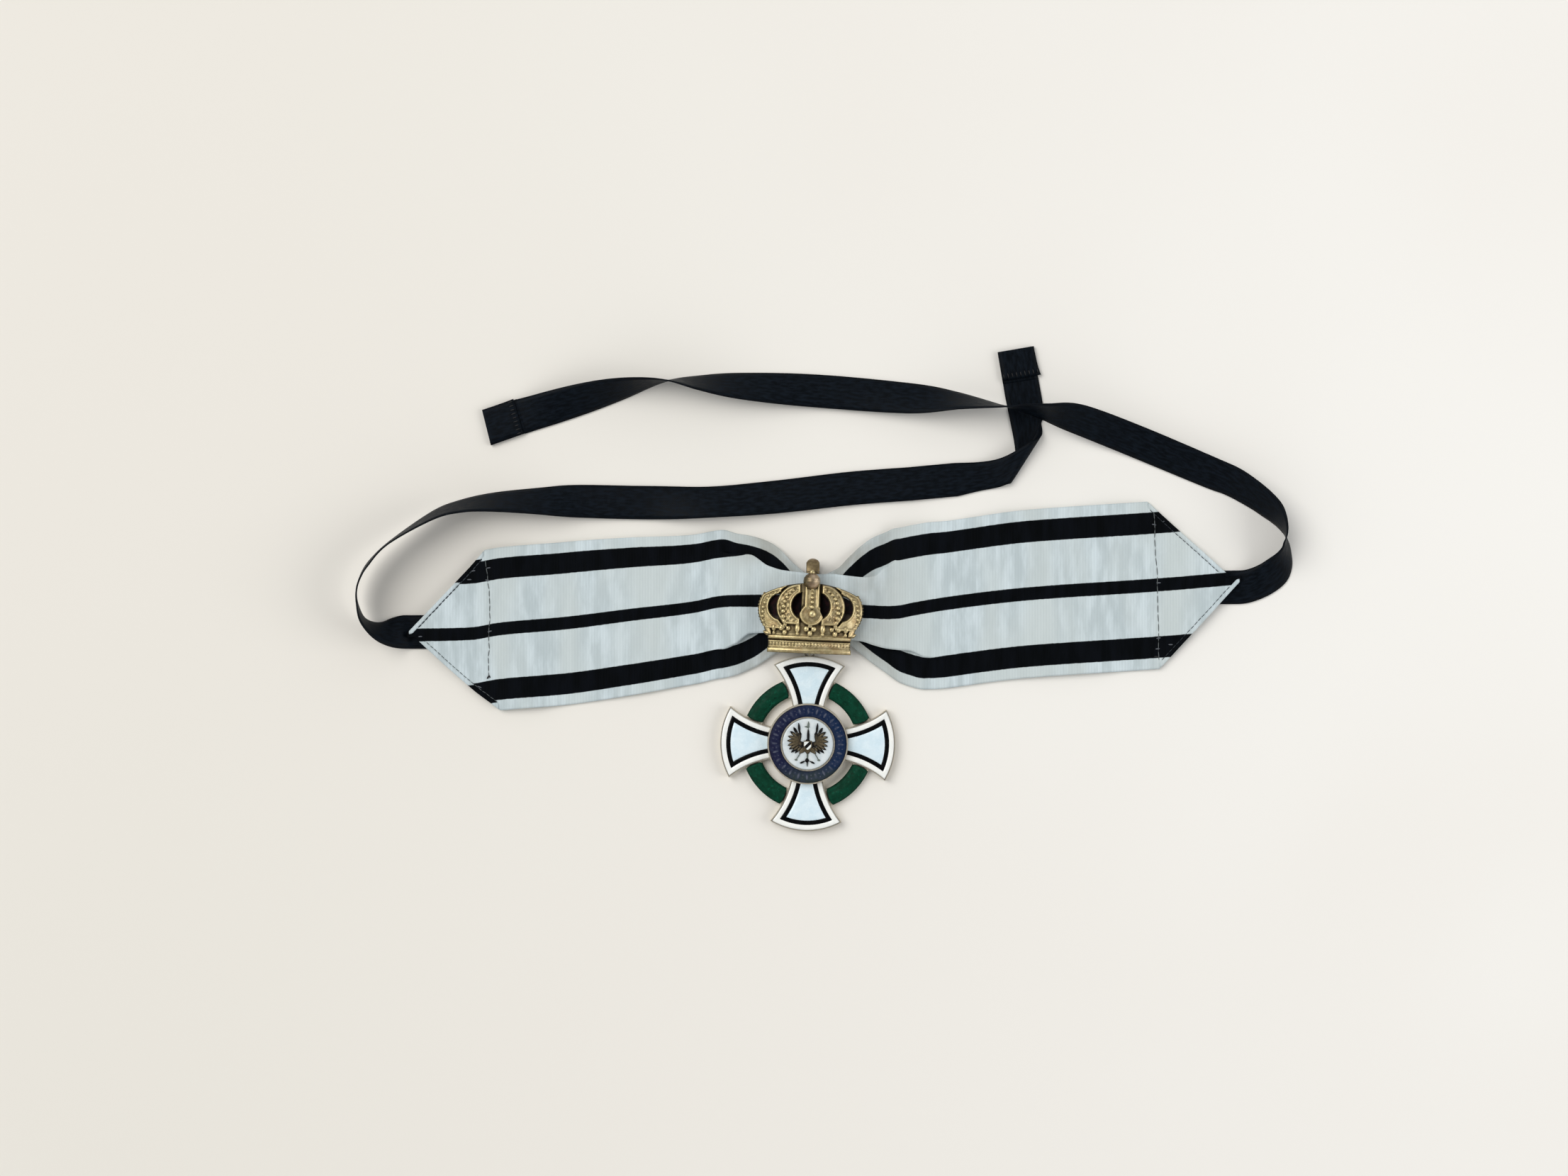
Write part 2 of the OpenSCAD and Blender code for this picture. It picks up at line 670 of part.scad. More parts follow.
// Catmull-Rom value of one column at a place between rows i and i + 1
function cr(t, i, f, c) =
    let (n = len(t), a = t[max(0, i - 1)][c], b = t[i][c], d = t[i + 1][c], e = t[min(n - 1, i + 2)][c])
    0.5 * (2 * b + (d - a) * f + (2 * a - 5 * b + 4 * d - e) * f * f + (3 * b - a - 3 * d + e) * f * f * f);
function dense(t, k, cols) = concat(
    [for (i = [0:len(t) - 2], j = [0:k - 1]) [for (c = [0:cols - 1]) cr(t, i, j / k, c)]],
    [[for (c = [0:cols - 1]) t[len(t) - 1][c]]]);

// the two edges of a tape from its run table: [edge, edge, thickness]
function edges_of(r) =
    let (h = tape_half * r[4], z = lying_z + r[5] + h * abs(sin(r[3])),
        w = h * [cos(r[3]) * cos(r[2]), cos(r[3]) * sin(r[2]), sin(r[3])])
    [[r[0], r[1], z] + w, [r[0], r[1], z] - w, r[6]];
function edges_at(r) = [[r[0], r[1], lying_z + r[2]], [r[3], r[4], lying_z + r[5]], r[6]];

// a point of the roll that starts at x, y, after the angle a
function rolled(x, y, r, a) =
    let (along = roll_slip * r * a * PI / 180, out = r * sin(a))
    [x + along * cos(roll_dir) + out * sin(roll_dir), y + along * sin(roll_dir) - out * cos(roll_dir),
        lying_z + r * (1 + cos(a))];
function roll_of(r, steps) = [for (k = [1:steps]) let (a = 180 * k / steps)
    [rolled(r[0], r[1], roll_up, a), rolled(r[3], r[4], roll_low, a), r[6]]];

function unit(v) = v / max(0.0001, norm(v));

// square-edged skin of a tape through its list of edge pairs
function tape_rings(e) = [for (i = [0:len(e) - 1])
    let (p = e[max(0, i - 1)], q = e[min(len(e) - 1, i + 1)],
        n = unit(cross(q[0] + q[1] - p[0] - p[1], e[i][0] - e[i][1])) * e[i][2] / 2)
    [e[i][0] + n, e[i][1] + n, e[i][1] - n, e[i][0] - n]];

module tape_left() {
    run = [for (r = dense(left_run, 3, 7)) edges_of(r)];
    rise = [for (r = dense(left_rise, 3, 7)) edges_at(r)];
    roll = roll_of(left_rise[len(left_rise) - 1], 8);
    drop = [for (r = dense(left_drop, 3, 7)) edges_at(r)];
    color([0.06, 0.09, 0.12]) loft(tape_rings(concat(run, rise, roll, drop)));
}

module tape_right() {
    color([0.06, 0.09, 0.12]) loft(tape_rings([for (r = dense(right_run, 3, 7)) edges_of(r)]));
}

cross_frame();
border_up();
border_left();
border_down();
border_right();
band_up();
band_left();
band_down();
band_right();
field_up();
field_left();
field_down();
field_right();
wreath_up_left();
wreath_down_left();
wreath_down_right();
wreath_up_right();
centre_cup();
motto_ring();
centre_disc();
eagle();
crown();
crown_lining();
crown_loop();
link();
ribbon();
tape_left();
tape_right();
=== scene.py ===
import random
from functools import reduce
from math import atan2, copysign, cos, degrees, exp, hypot, pi, radians, sin, sqrt

import bpy
import numpy as np
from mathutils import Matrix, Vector


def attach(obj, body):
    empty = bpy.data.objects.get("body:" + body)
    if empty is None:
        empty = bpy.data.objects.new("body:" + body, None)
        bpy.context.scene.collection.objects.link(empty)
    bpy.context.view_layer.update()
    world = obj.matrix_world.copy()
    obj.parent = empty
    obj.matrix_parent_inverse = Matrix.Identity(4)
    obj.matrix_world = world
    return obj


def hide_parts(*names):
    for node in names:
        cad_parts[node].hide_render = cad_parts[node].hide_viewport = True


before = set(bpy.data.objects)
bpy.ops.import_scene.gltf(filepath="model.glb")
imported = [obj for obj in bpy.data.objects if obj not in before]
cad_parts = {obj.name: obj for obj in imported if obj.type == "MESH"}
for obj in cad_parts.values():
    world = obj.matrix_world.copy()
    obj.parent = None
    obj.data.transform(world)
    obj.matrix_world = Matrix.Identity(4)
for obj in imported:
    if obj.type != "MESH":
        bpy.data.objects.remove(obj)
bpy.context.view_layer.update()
MM = 0.001
rng = random.Random(7)

# Sizes in millimetres, in the frame of the CAD model
CROSS_TURN = radians(-1.3)
END_R, END_Y = 22.0, 5.0
SIDE_R, SIDE_X, SIDE_Y = 27.4, 31.85, 6.34
RIM, BORDER, BAND = 0.25, 1.6, 1.35
CENTRE_R, DISC_R = 12.4, 8.0
WREATH_IN, WREATH_OUT = 15.2, 20.6
RING_MID, RING_HALF = 10.18, 1.83
# Height of the flat back of each relief
WREATH_BACK, RING_BACK, EAGLE_BACK = 1.1, 3.2, 4.3
# Height of the enamel at its edges, how far it rises inside, and the floor of its cells
BORDER_Z, BORDER_RISE = 2.45, 0.22
BAND_Z, BAND_RISE = 2.4, 0.1
FIELD_Z, FIELD_RISE = 2.4, 0.25
DISC_Z, DISC_RISE = 4.38, 0.12
CELL_FLOOR = 1.5
RIBBON_HALF, RIBBON_LENGTH, POINT_LENGTH = 26.0, 258, 28.0
CLOTH_T, PLEAT_R = 0.5, 0.575
TAPE_HALF, TAPE_T = 5.2, 0.5
CROWN_X, CROWN_Y, CROWN_LIFT, CROWN_TURN = 0.3, 27.9, 5.5, radians(-2.4)
LOOP_X, LOOP_Y, LOOP_Z, LOOP_R = 1.6, 52.85, 4.3, 3.75
LOOP_W, LOOP_T, LOOP_END_R = 4.0, 0.9, 2.15
DOME_R, DOME_TOP = 34.0, 4.6
BALL_Z, ORB_Y, ORB_R, KNOB_Y, KNOB_R = 2.5, 22.2, 2.55, 24.9, 0.95
EYE_R, EYE_Y, EYE_Z, EYE_WIRE, POST_WIRE = 1.3, 2.4, -1.4, 0.25, 0.3
CAMERA_AT = (-7.3, 48.0, 674.4)
FLOOR_HALF = 3000
# Where both lights look, in metres
AIM = Vector((0, 0.05, 0))
# Brightness of the studio near the horizon and overhead
SKY_LOW, SKY_TOP = 0.85, 0.14


# Mesh helpers
def make_mesh(name, verts, faces, uv=None, smooth=True, material=None):
    """A new object from points in millimetres."""
    me = bpy.data.meshes.new(name)
    me.from_pydata([tuple(v) for v in np.asarray(verts, float) * MM], [], faces)
    if uv is not None:
        layer = me.uv_layers.new(name="across_along")
        loops = np.empty(len(me.loops), np.int32)
        me.loops.foreach_get("vertex_index", loops)
        layer.data.foreach_set("uv", np.asarray(uv, float)[loops].reshape(-1))
    me.polygons.foreach_set("use_smooth", [smooth] * len(me.polygons))
    me.validate()
    if material is not None:
        me.materials.append(material)
    obj = bpy.data.objects.new(name, me)
    bpy.context.scene.collection.objects.link(obj)
    return obj


def grid_faces(rows, cols, close_rows=False, close_cols=False, base=0, flip=False):
    faces = []
    for i in range(rows if close_rows else rows - 1):
        for j in range(cols if close_cols else cols - 1):
            a = base + i * cols + j
            b = base + i * cols + (j + 1) % cols
            c = base + ((i + 1) % rows) * cols + (j + 1) % cols
            d = base + ((i + 1) % rows) * cols + j
            faces.append((a, d, c, b) if flip else (a, b, c, d))
    return faces


def grid_rim(rows, cols):
    rim = [i * cols for i in range(rows)] + [(rows - 1) * cols + j for j in range(1, cols)]
    return rim + [i * cols + cols - 1 for i in range(rows - 2, -1, -1)] + list(range(cols - 2, 0, -1))


def end_caps(rows, cols):
    return [tuple(range(cols))[::-1], tuple((rows - 1) * cols + k for k in range(cols))]


def flipped(faces):
    return [f[::-1] for f in faces]


def ring_turns(count):
    return np.arange(count) * 2 * pi / count


def tube(path, radii, sides, lean, closed=False):
    """Points and faces of a round run along a path, capped unless it is closed."""
    pts = np.array(path, float)
    m = len(pts)
    verts = []
    for i, p in enumerate(pts):
        t = pts[(i + 1) % m] - pts[i - 1] if closed else pts[min(m - 1, i + 1)] - pts[max(0, i - 1)]
        t /= np.linalg.norm(t)
        side = np.cross(t, lean)
        side /= np.linalg.norm(side)
        up = np.cross(side, t)
        verts += [p + radii[i] * (cos(a) * side + sin(a) * up) for a in ring_turns(sides)]
    faces = grid_faces(m, sides, close_rows=closed, close_cols=True)
    return verts, faces if closed else faces + end_caps(m, sides)


def fuse(name, parts, material):
    """One named piece from the points and faces of several loose parts."""
    verts, faces = [], []
    for points, part_faces in parts:
        faces += [tuple(v + len(verts) for v in f) for f in part_faces]
        verts += list(points)
    return make_mesh(name, verts, faces, material=material)


def sheet_mesh(name, top, low, shape, uv, material, flip=False):
    """A cloth wall between two grids of points, closed along its rim."""
    rows, cols = shape
    n = rows * cols
    faces = grid_faces(rows, cols, flip=flip) + grid_faces(rows, cols, base=n, flip=not flip)
    rim = grid_rim(rows, cols)
    for a, b in zip(rim, rim[1:] + rim[:1]):
        faces.append((b, a, a + n, b + n) if flip else (a, b, b + n, a + n))
    return make_mesh(name, np.concatenate([top, low]), faces, np.concatenate([uv, uv]), material=material)


def finish_piece(obj, slot, *nodes):
    """Fastens a piece to the one body, and hides the CAD nodes it stands in for."""
    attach(obj, "root")
    if nodes:
        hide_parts(*nodes)
    return obj


def turn(points, angle):
    """Points turned round the Z axis."""
    c, s = cos(angle), sin(angle)
    p = np.asarray(points, float).copy()
    x, y = p[:, 0].copy(), p[:, 1].copy()
    p[:, 0], p[:, 1] = c * x - s * y, s * x + c * y
    return p


# Materials
class Graph:
    """A short way to write a material's nodes."""

    def __init__(self, name):
        self.mat = bpy.data.materials.new(name)
        self.mat.use_nodes = True
        self.nodes = self.mat.node_tree.nodes
        self.links = self.mat.node_tree.links
        self.bsdf = self.nodes["Principled BSDF"]

    def add(self, kind, links=None, **values):
        node = self.nodes.new(kind)
        for key, value in values.items():
            setattr(node, key, value)
        for socket, source in (links or {}).items():
            target = node.inputs[socket]
            if isinstance(source, bpy.types.NodeSocket):
                self.links.new(source, target)
            else:
                target.default_value = source
        return node

    def math(self, op, a, b=0.0):
        return self.add("ShaderNodeMath", {0: a, 1: b}, operation=op).outputs[0]

    def mul(self, a, b):
        return self.math("MULTIPLY", a, b)

    def plus(self, a, b):
        return self.math("ADD", a, b)

    def most(self, a, b):
        return self.math("MAXIMUM", a, b)

    def size(self, a):
        return self.math("ABSOLUTE", a)

    def part(self, vector, axis):
        return self.add("ShaderNodeSeparateXYZ", {0: vector}).outputs[axis]

    def xy(self, x, y):
        return self.add("ShaderNodeCombineXYZ", {0: x, 1: y}).outputs[0]

    def ramp(self, value, low, high, to_low=0.0, to_high=1.0):
        node = self.add("ShaderNodeMapRange", {0: value, 1: low, 2: high, 3: to_low, 4: to_high})
        node.interpolation_type = "SMOOTHSTEP"
        return node.outputs[0]

    def mix(self, factor, a, b, blend="MIX"):
        node = self.add("ShaderNodeMix", data_type="RGBA", blend_type=blend)
        for socket, source in ((0, factor), (6, a), (7, b)):
            if isinstance(source, bpy.types.NodeSocket):
                self.links.new(source, node.inputs[socket])
            elif socket == 0:
                node.inputs[socket].default_value = source
            else:
                node.inputs[socket].default_value = (*source, 1.0)
        return node.outputs[2]

    def noise(self, vector, scale, detail=3.0, rough=0.5):
        links = {"Vector": vector, "Scale": scale, "Detail": detail, "Roughness": rough}
        return self.add("ShaderNodeTexNoise", links).outputs[0]

    def wave(self, vector, scale, distortion, detail, direction="X"):
        links = {"Vector": vector, "Scale": scale, "Distortion": distortion, "Detail": detail,
                 "Detail Scale": 1.0}
        return self.add("ShaderNodeTexWave", links, bands_direction=direction).outputs[1]

    def coords(self):
        """Object coordinates in millimetres."""
        tex = self.add("ShaderNodeTexCoord").outputs["Object"]
        return self.add("ShaderNodeVectorMath", {0: tex, 3: 1000.0}, operation="SCALE").outputs[0]

    def mark(self, name):
        """A value that a relief keeps on its points."""
        return self.add("ShaderNodeAttribute", attribute_name=name).outputs["Fac"]

    def bump(self, height, distance, strength):
        links = {"Height": height, "Distance": distance, "Strength": strength}
        return self.add("ShaderNodeBump", links).outputs[0]

    def set(self, **sockets):
        for key, value in sockets.items():
            socket = self.bsdf.inputs[key.replace("_", " ")]
            if isinstance(value, bpy.types.NodeSocket):
                self.links.new(value, socket)
            else:
                socket.default_value = value


def srgb(*screen):
    """Linear colour from screen values of 0 to 255."""
    return tuple((v / 255 / 12.92) if v <= 10 else ((v / 255 + 0.055) / 1.055) ** 2.4 for v in screen)


def scaled(colour, *factors):
    return tuple(v * w for v, w in zip(colour, factors * 3 if len(factors) == 1 else factors))


def enamel(name, base, mottle, scale=0.35, amount=0.5, coat=0.6, rough=0.22, shine=0.5):
    """Fired glass: a glossy coat over a colour that varies softly, with a slight orange-peel surface."""
    g = Graph(name)
    p = g.coords()
    cloud = g.ramp(g.noise(p, scale, 4.0), 0.35, 0.65)
    speck = g.ramp(g.noise(p, 3.1, 2.0), 0.62, 0.75, 0.0, 0.35)
    colour = g.mix(g.mul(cloud, amount), base, mottle)
    colour = g.mix(speck, colour, scaled(base, 0.75))
    peel = g.noise(p, 1.3, 2.0)
    g.set(Base_Color=colour, Roughness=g.ramp(g.noise(p, 0.8), 0.3, 0.7, rough * 0.7, rough * 1.5),
          Coat_Weight=coat, Coat_Roughness=0.06, Specular_IOR_Level=shine,
          Normal=g.bump(peel, 0.00004, 0.5))
    return g.mat


def old_metal(name, bright, dull, dirt, rough=0.38, pit=1.0, side=None, painted_light_swing=0.3):
    """Gilding worn matt, with dirt in its low places and brighter edges, and, if asked, painted light that
    makes it darker to one side and paler to the other.
    """
    g = Graph(name)
    p = g.coords()
    wear = g.ramp(g.noise(p, 0.9, 5.0, 0.6), 0.38, 0.66)
    stain = g.ramp(g.noise(p, 0.33, 3.0), 0.45, 0.7, 0.0, 0.5)
    colour = g.mix(wear, dull, bright)
    colour = g.mix(stain, colour, scaled(dull, 1.0, 0.78, 0.72))
    # Painted light: darker to the left, and paler and a little bluer to the right, over the given span.
    if side:
        across = g.plus(g.part(p, 0), g.mul(g.noise(p, 0.2), 2.0))
        left = g.mix(1.0, colour, (1 - painted_light_swing / 2,) * 3, blend="MULTIPLY")
        paler = (1 + painted_light_swing / 3, 1 + painted_light_swing / 3, 1 + painted_light_swing / 1.5)
        right = g.mix(1.0, colour, paler, blend="MULTIPLY")
        colour = g.mix(g.ramp(across, side[0] + 1, side[1] + 1), left, right)
    ao = g.add("ShaderNodeAmbientOcclusion", {"Distance": 0.0012}, samples=8)
    hollow = g.most(g.ramp(ao.outputs["AO"], 0.85, 0.35), g.mark("hollow"))
    colour = g.mix(hollow, colour, dirt)
    grain = g.noise(p, 5.0, 4.0, 0.6)
    edge = g.ramp(g.add("ShaderNodeNewGeometry").outputs["Pointiness"], 0.51, 0.6, 0.0, 0.6)
    shine = g.most(edge, g.mul(g.mark("ridge"), 0.75))
    colour = g.mix(shine, colour, tuple(min(1.0, v * 1.45) for v in bright))
    dull_grain = g.ramp(grain, 0.3, 0.7, rough * 0.8, rough * 1.35)
    g.set(Base_Color=colour, Metallic=0.85, Roughness=g.plus(dull_grain, g.mul(hollow, 0.25)),
          Normal=g.bump(grain, 0.00003 * pit, 0.7))
    return g.mat


def leaf_enamel():
    """Translucent green over low leaves: mottled, darker where it lies deep, dulled by age."""
    g = Graph("green_enamel")
    p = g.coords()
    cloud = g.ramp(g.noise(p, 0.6, 4.0), 0.36, 0.66)
    tone = g.plus(g.mul(g.mark("tone"), 0.45), g.mul(cloud, 0.55))
    colour = g.mix(tone, srgb(0, 44, 28), srgb(3, 64, 45))
    colour = g.mix(g.ramp(g.noise(p, 1.1, 4.0, 0.6), 0.56, 0.74, 0.0, 0.7), colour, srgb(10, 88, 64))
    colour = g.mix(g.mul(g.mark("ridge"), 0.3), colour, srgb(10, 80, 58))
    colour = g.mix(g.ramp(g.noise(p, 0.9, 4.0, 0.6), 0.42, 0.28, 0.0, 0.8), colour, srgb(0, 30, 18))
    colour = g.mix(g.mul(g.mark("hollow"), 0.6), colour, srgb(0, 28, 18))
    chip = g.ramp(g.noise(p, 1.7, 3.0), 0.71, 0.77, 0.0, 0.3)
    colour = g.mix(chip, colour, srgb(80, 104, 84))
    g.set(Base_Color=colour, Roughness=g.ramp(g.noise(p, 0.8), 0.3, 0.7, 0.5, 0.7),
          Specular_IOR_Level=0.1, Normal=g.bump(g.noise(p, 1.6, 3.0), 0.00006, 0.6))
    return g.mat


def ring_enamel():
    """Dark blue enamel that shifts in hue from left to right, with a painted reflection that makes it greyer
    and browner towards the bottom, and a worn pattern of leaves and dots.
    """
    g = Graph("blue_enamel")
    p = g.coords()
    side = g.ramp(g.plus(g.part(p, 0), g.mul(g.noise(p, 0.3, 2.0), 6.0)), -9.0, 12.0)
    # Painted reflection: greyer towards the bottom.
    low = g.ramp(g.plus(g.part(p, 1), g.mul(g.noise(p, 0.4, 2.0), 5.0)), -3.0, -9.0)
    colour = g.mix(side, srgb(24, 26, 54), srgb(16, 36, 66))
    colour = g.mix(low, colour, srgb(46, 56, 56))
    cloud = g.ramp(g.noise(p, 0.9, 4.0), 0.4, 0.68)
    colour = g.mix(g.mul(cloud, 0.45), colour, srgb(46, 54, 78))
    worn = g.ramp(g.noise(p, 0.7, 3.0), 0.36, 0.6, 0.2, 0.85)
    colour = g.mix(g.mul(g.mark("tone"), worn), colour, srgb(86, 90, 104))
    colour = g.mix(g.mul(g.mark("hollow"), 0.8), colour, srgb(12, 13, 28))
    g.set(Base_Color=colour, Roughness=g.ramp(cloud, 0.0, 1.0, 0.3, 0.5), Coat_Weight=0.08,
          Coat_Roughness=0.2, Specular_IOR_Level=0.15,
          Normal=g.bump(g.noise(p, 1.4, 3.0), 0.00005, 0.6))
    return g.mat


def eagle_metal():
    """Black enamel worn down to brown gold on the feathers, dull on the head, light on the shield."""
    g = Graph("eagle_metal")
    p = g.coords()
    tone = g.mark("tone")
    wear = g.ramp(g.noise(p, 2.2, 3.0), 0.35, 0.65, 0.55, 1.0)
    bare = g.mul(g.math("MINIMUM", g.most(tone, 0.0), 1.0), wear)
    colour = g.mix(bare, srgb(6, 6, 8), srgb(104, 92, 70))
    high = g.mul(g.mul(g.mark("ridge"), bare), 0.8)
    colour = g.mix(high, colour, srgb(178, 166, 138))
    colour = g.mix(g.mark("hollow"), colour, srgb(5, 5, 5))
    colour = g.mix(g.ramp(tone, -0.1, -1.0, 0.0, 1.0), colour, srgb(100, 110, 102))
    light = g.ramp(tone, 1.2, 1.7)
    colour = g.mix(light, colour, srgb(226, 230, 226))
    metal = g.mul(g.mul(bare, 0.6), g.math("SUBTRACT", 1.0, light))
    g.set(Base_Color=colour, Metallic=metal, Roughness=0.45, Specular_IOR_Level=0.15,
          Normal=g.bump(g.noise(p, 4.0, 3.0), 0.00003, 0.6))
    return g.mat


def lining_with_painted_shade():
    """Dark red-brown lining behind the crown's openings, its near-black partly painted shade from inside the
    crown, and paler grey towards its lower edge.
    """
    g = Graph("dark_lining")
    p = g.coords()
    # Near-black painted shade from inside the crown, over a dark red-brown.
    colour = g.mix(g.ramp(g.noise(p, 0.8, 3.0), 0.4, 0.7), srgb(8, 5, 7), srgb(44, 16, 20))
    up = g.plus(g.part(p, 1), g.mul(g.noise(p, 0.6, 3.0), 2.0))
    colour = g.mix(g.ramp(up, 41.2, 39.4), colour, srgb(96, 86, 78))
    g.set(Base_Color=colour, Roughness=0.6, Specular_IOR_Level=0.15,
          Normal=g.bump(g.noise(p, 3.0, 3.0), 0.00004, 0.6))
    return g.mat


WHITE_ENAMEL = enamel("white_enamel", srgb(240, 242, 238), srgb(250, 250, 244), amount=0.6)
BLUE_WHITE_ENAMEL = enamel("pale_blue_enamel", srgb(214, 234, 243), srgb(228, 243, 249), amount=0.7)
BLACK_ENAMEL = enamel("black_enamel", srgb(3, 4, 5), srgb(7, 8, 10), coat=0.05, shine=0.15)
DISC_ENAMEL = enamel("disc_enamel", srgb(206, 216, 220), srgb(226, 232, 232), amount=0.7)
GREEN_ENAMEL = leaf_enamel()
RING_ENAMEL = ring_enamel()
EAGLE_METAL = eagle_metal()
DARK_LINING = lining_with_painted_shade()
GILT = old_metal("old_gilt", (0.50, 0.42, 0.27), (0.34, 0.29, 0.19), (0.05, 0.04, 0.03))
RIM_METAL = old_metal("rim_metal", (0.50, 0.46, 0.37), (0.36, 0.33, 0.27), (0.06, 0.055, 0.045))
# The crown and the orb get painted light: darker to their left, paler to their right.
CROWN_GILT = old_metal("crown_gilt", (0.56, 0.465, 0.25), (0.33, 0.262, 0.125), (0.034, 0.023, 0.011),
                       rough=0.36, pit=1.5, side=(-16.0, 14.0))
LOOP_GILT = old_metal("loop_gilt", (0.25, 0.19, 0.098), (0.16, 0.117, 0.06), (0.025, 0.017, 0.008))
ORB_GILT = old_metal("orb_gilt", (0.4, 0.31, 0.17), (0.26, 0.2, 0.1), (0.025, 0.017, 0.008),
                     side=(-0.6, 2.8), painted_light_swing=1.2)


# Half width of the middle stripe, and both edges of an outer stripe, from the middle of the ribbon
STRIPE_MID, STRIPE_IN, STRIPE_OUT, STRIPE_SOFT = 2.05, 15.9, 22.6, 0.12


def cloth_places(g):
    """Places along and across the cloth, in millimetres, from its UV map."""
    uv = g.add("ShaderNodeUVMap", uv_map="across_along").outputs[0]
    return uv, g.part(uv, 0), g.part(uv, 1)


def ribbon_material():
    """Ribbed silk with a middle and two outer stripes, with painted shade near the crown."""
    g = Graph("ribbon_silk")
    uv, along, across = cloth_places(g)
    wob = g.noise(g.xy(along, across), 0.9, 3.0)
    off = g.plus(g.size(across), g.mul(g.math("SUBTRACT", wob, 0.5), 0.22))
    soft = STRIPE_SOFT
    centre = g.ramp(off, STRIPE_MID - soft, STRIPE_MID + soft, 1.0, 0.0)
    inner_side = g.ramp(off, STRIPE_IN - soft, STRIPE_IN + soft)
    outer_side = g.ramp(off, STRIPE_OUT - soft, STRIPE_OUT + soft, 1.0, 0.0)
    black = g.most(centre, g.mul(inner_side, outer_side))
    ribs_at = g.xy(along, g.mul(across, 0.04))
    ribs = g.wave(ribs_at, 0.36, 0.6, 2.0)
    fine = g.wave(ribs_at, 0.95, 0.25, 1.0)
    water = g.noise(g.xy(g.mul(along, 0.55), g.mul(across, 0.12)), 0.55, 4.0, 0.55)
    bands = g.noise(g.xy(g.mul(along, 0.05), g.mul(across, 0.012)), 1.0, 2.0)
    white = g.mix(g.ramp(water, 0.35, 0.68), srgb(184, 196, 199), srgb(208, 220, 224))
    white = g.mix(g.ramp(bands, 0.42, 0.62, 0.0, 0.8), white, srgb(198, 207, 206))
    white = g.mix(g.mul(ribs, 0.16), white, srgb(158, 168, 170))
    # Painted shade where the cloth gathers by the crown: strongest towards the cloth's edges and just right
    # of the crown, fading within about 34 mm, broken up by noise.
    beside = g.ramp(g.size(g.math("SUBTRACT", along, 3.0)), 14.0, 34.0, 1.0, 0.0)
    right = g.mul(g.ramp(along, 8.0, 15.0), g.ramp(along, 26.0, 38.0, 1.0, 0.0))
    rim = g.most(g.ramp(g.size(across), 10.0, 20.0, 0.1, 1.0), g.mul(right, 0.6))
    shade_patchiness = g.ramp(g.noise(uv, 0.12, 3.0), 0.3, 0.7, 0.45, 1.0)
    white = g.mix(g.mul(g.mul(beside, rim), g.mul(shade_patchiness, 0.74)), white, srgb(146, 143, 132))
    dark = g.mix(g.ramp(water, 0.35, 0.7), srgb(5, 7, 9), srgb(10, 13, 18))
    height = g.plus(g.plus(g.mul(ribs, 0.75), g.mul(fine, 0.35)), g.mul(water, 0.8))
    g.set(Base_Color=g.mix(black, white, dark), Roughness=g.ramp(water, 0.3, 0.7, 0.5, 0.68),
          Specular_IOR_Level=0.03, Normal=g.bump(height, 0.00005, 0.6))
    return g.mat


def tape_material():
    """Black satin tape with fine ribs along its edges."""
    g = Graph("tape_satin")
    _, along, across = cloth_places(g)
    twill = g.wave(g.xy(along, across), 0.9, 0.4, 1.0, "DIAGONAL")
    slub = g.noise(g.xy(g.mul(along, 0.25), across), 1.4, 4.0)
    creases = g.noise(g.xy(g.mul(along, 0.9), g.mul(across, 0.25)), 0.5, 3.0)
    edge = g.ramp(g.size(across), 4.3, 4.9)
    colour = g.mix(g.ramp(slub, 0.35, 0.7), srgb(5, 9, 14), srgb(14, 21, 29))
    colour = g.mix(g.mul(edge, 0.6), colour, srgb(12, 15, 19))
    height = g.plus(g.mul(twill, 0.35), g.plus(g.mul(slub, 0.5), g.mul(creases, 2.4)))
    g.set(Base_Color=colour, Roughness=g.ramp(slub, 0.3, 0.7, 0.4, 0.58), Specular_IOR_Level=0.06,
          Normal=g.bump(height, 0.00007, 0.6))
    return g.mat


def thread_material(name, colour):
    g = Graph(name)
    twist = g.wave(g.coords(), 2.2, 0.5, 2.0, "DIAGONAL")
    g.set(Base_Color=g.mix(g.mul(twist, 0.5), colour, scaled(colour, 0.55)), Roughness=0.7,
          Normal=g.bump(twist, 0.00004, 0.5))
    return g.mat


RIBBON_SILK = ribbon_material()
TAPE_SATIN = tape_material()
PALE_THREAD = thread_material("pale_thread", srgb(88, 92, 98))
DARK_THREAD = thread_material("dark_thread", srgb(88, 94, 94))
INK_THREAD = thread_material("ink_thread", srgb(34, 44, 50))
BLACK_THREAD = thread_material("black_thread", srgb(14, 15, 17))


# Ribbon
# x where the upper and the lower edge start to slant, left and right, and x of the points that they run to
SLANT_UP = (-99.8, 105.0, -124.1, 131.0)
SLANT_LOW = (-94.9, 108.7, -122.0, 134.4)
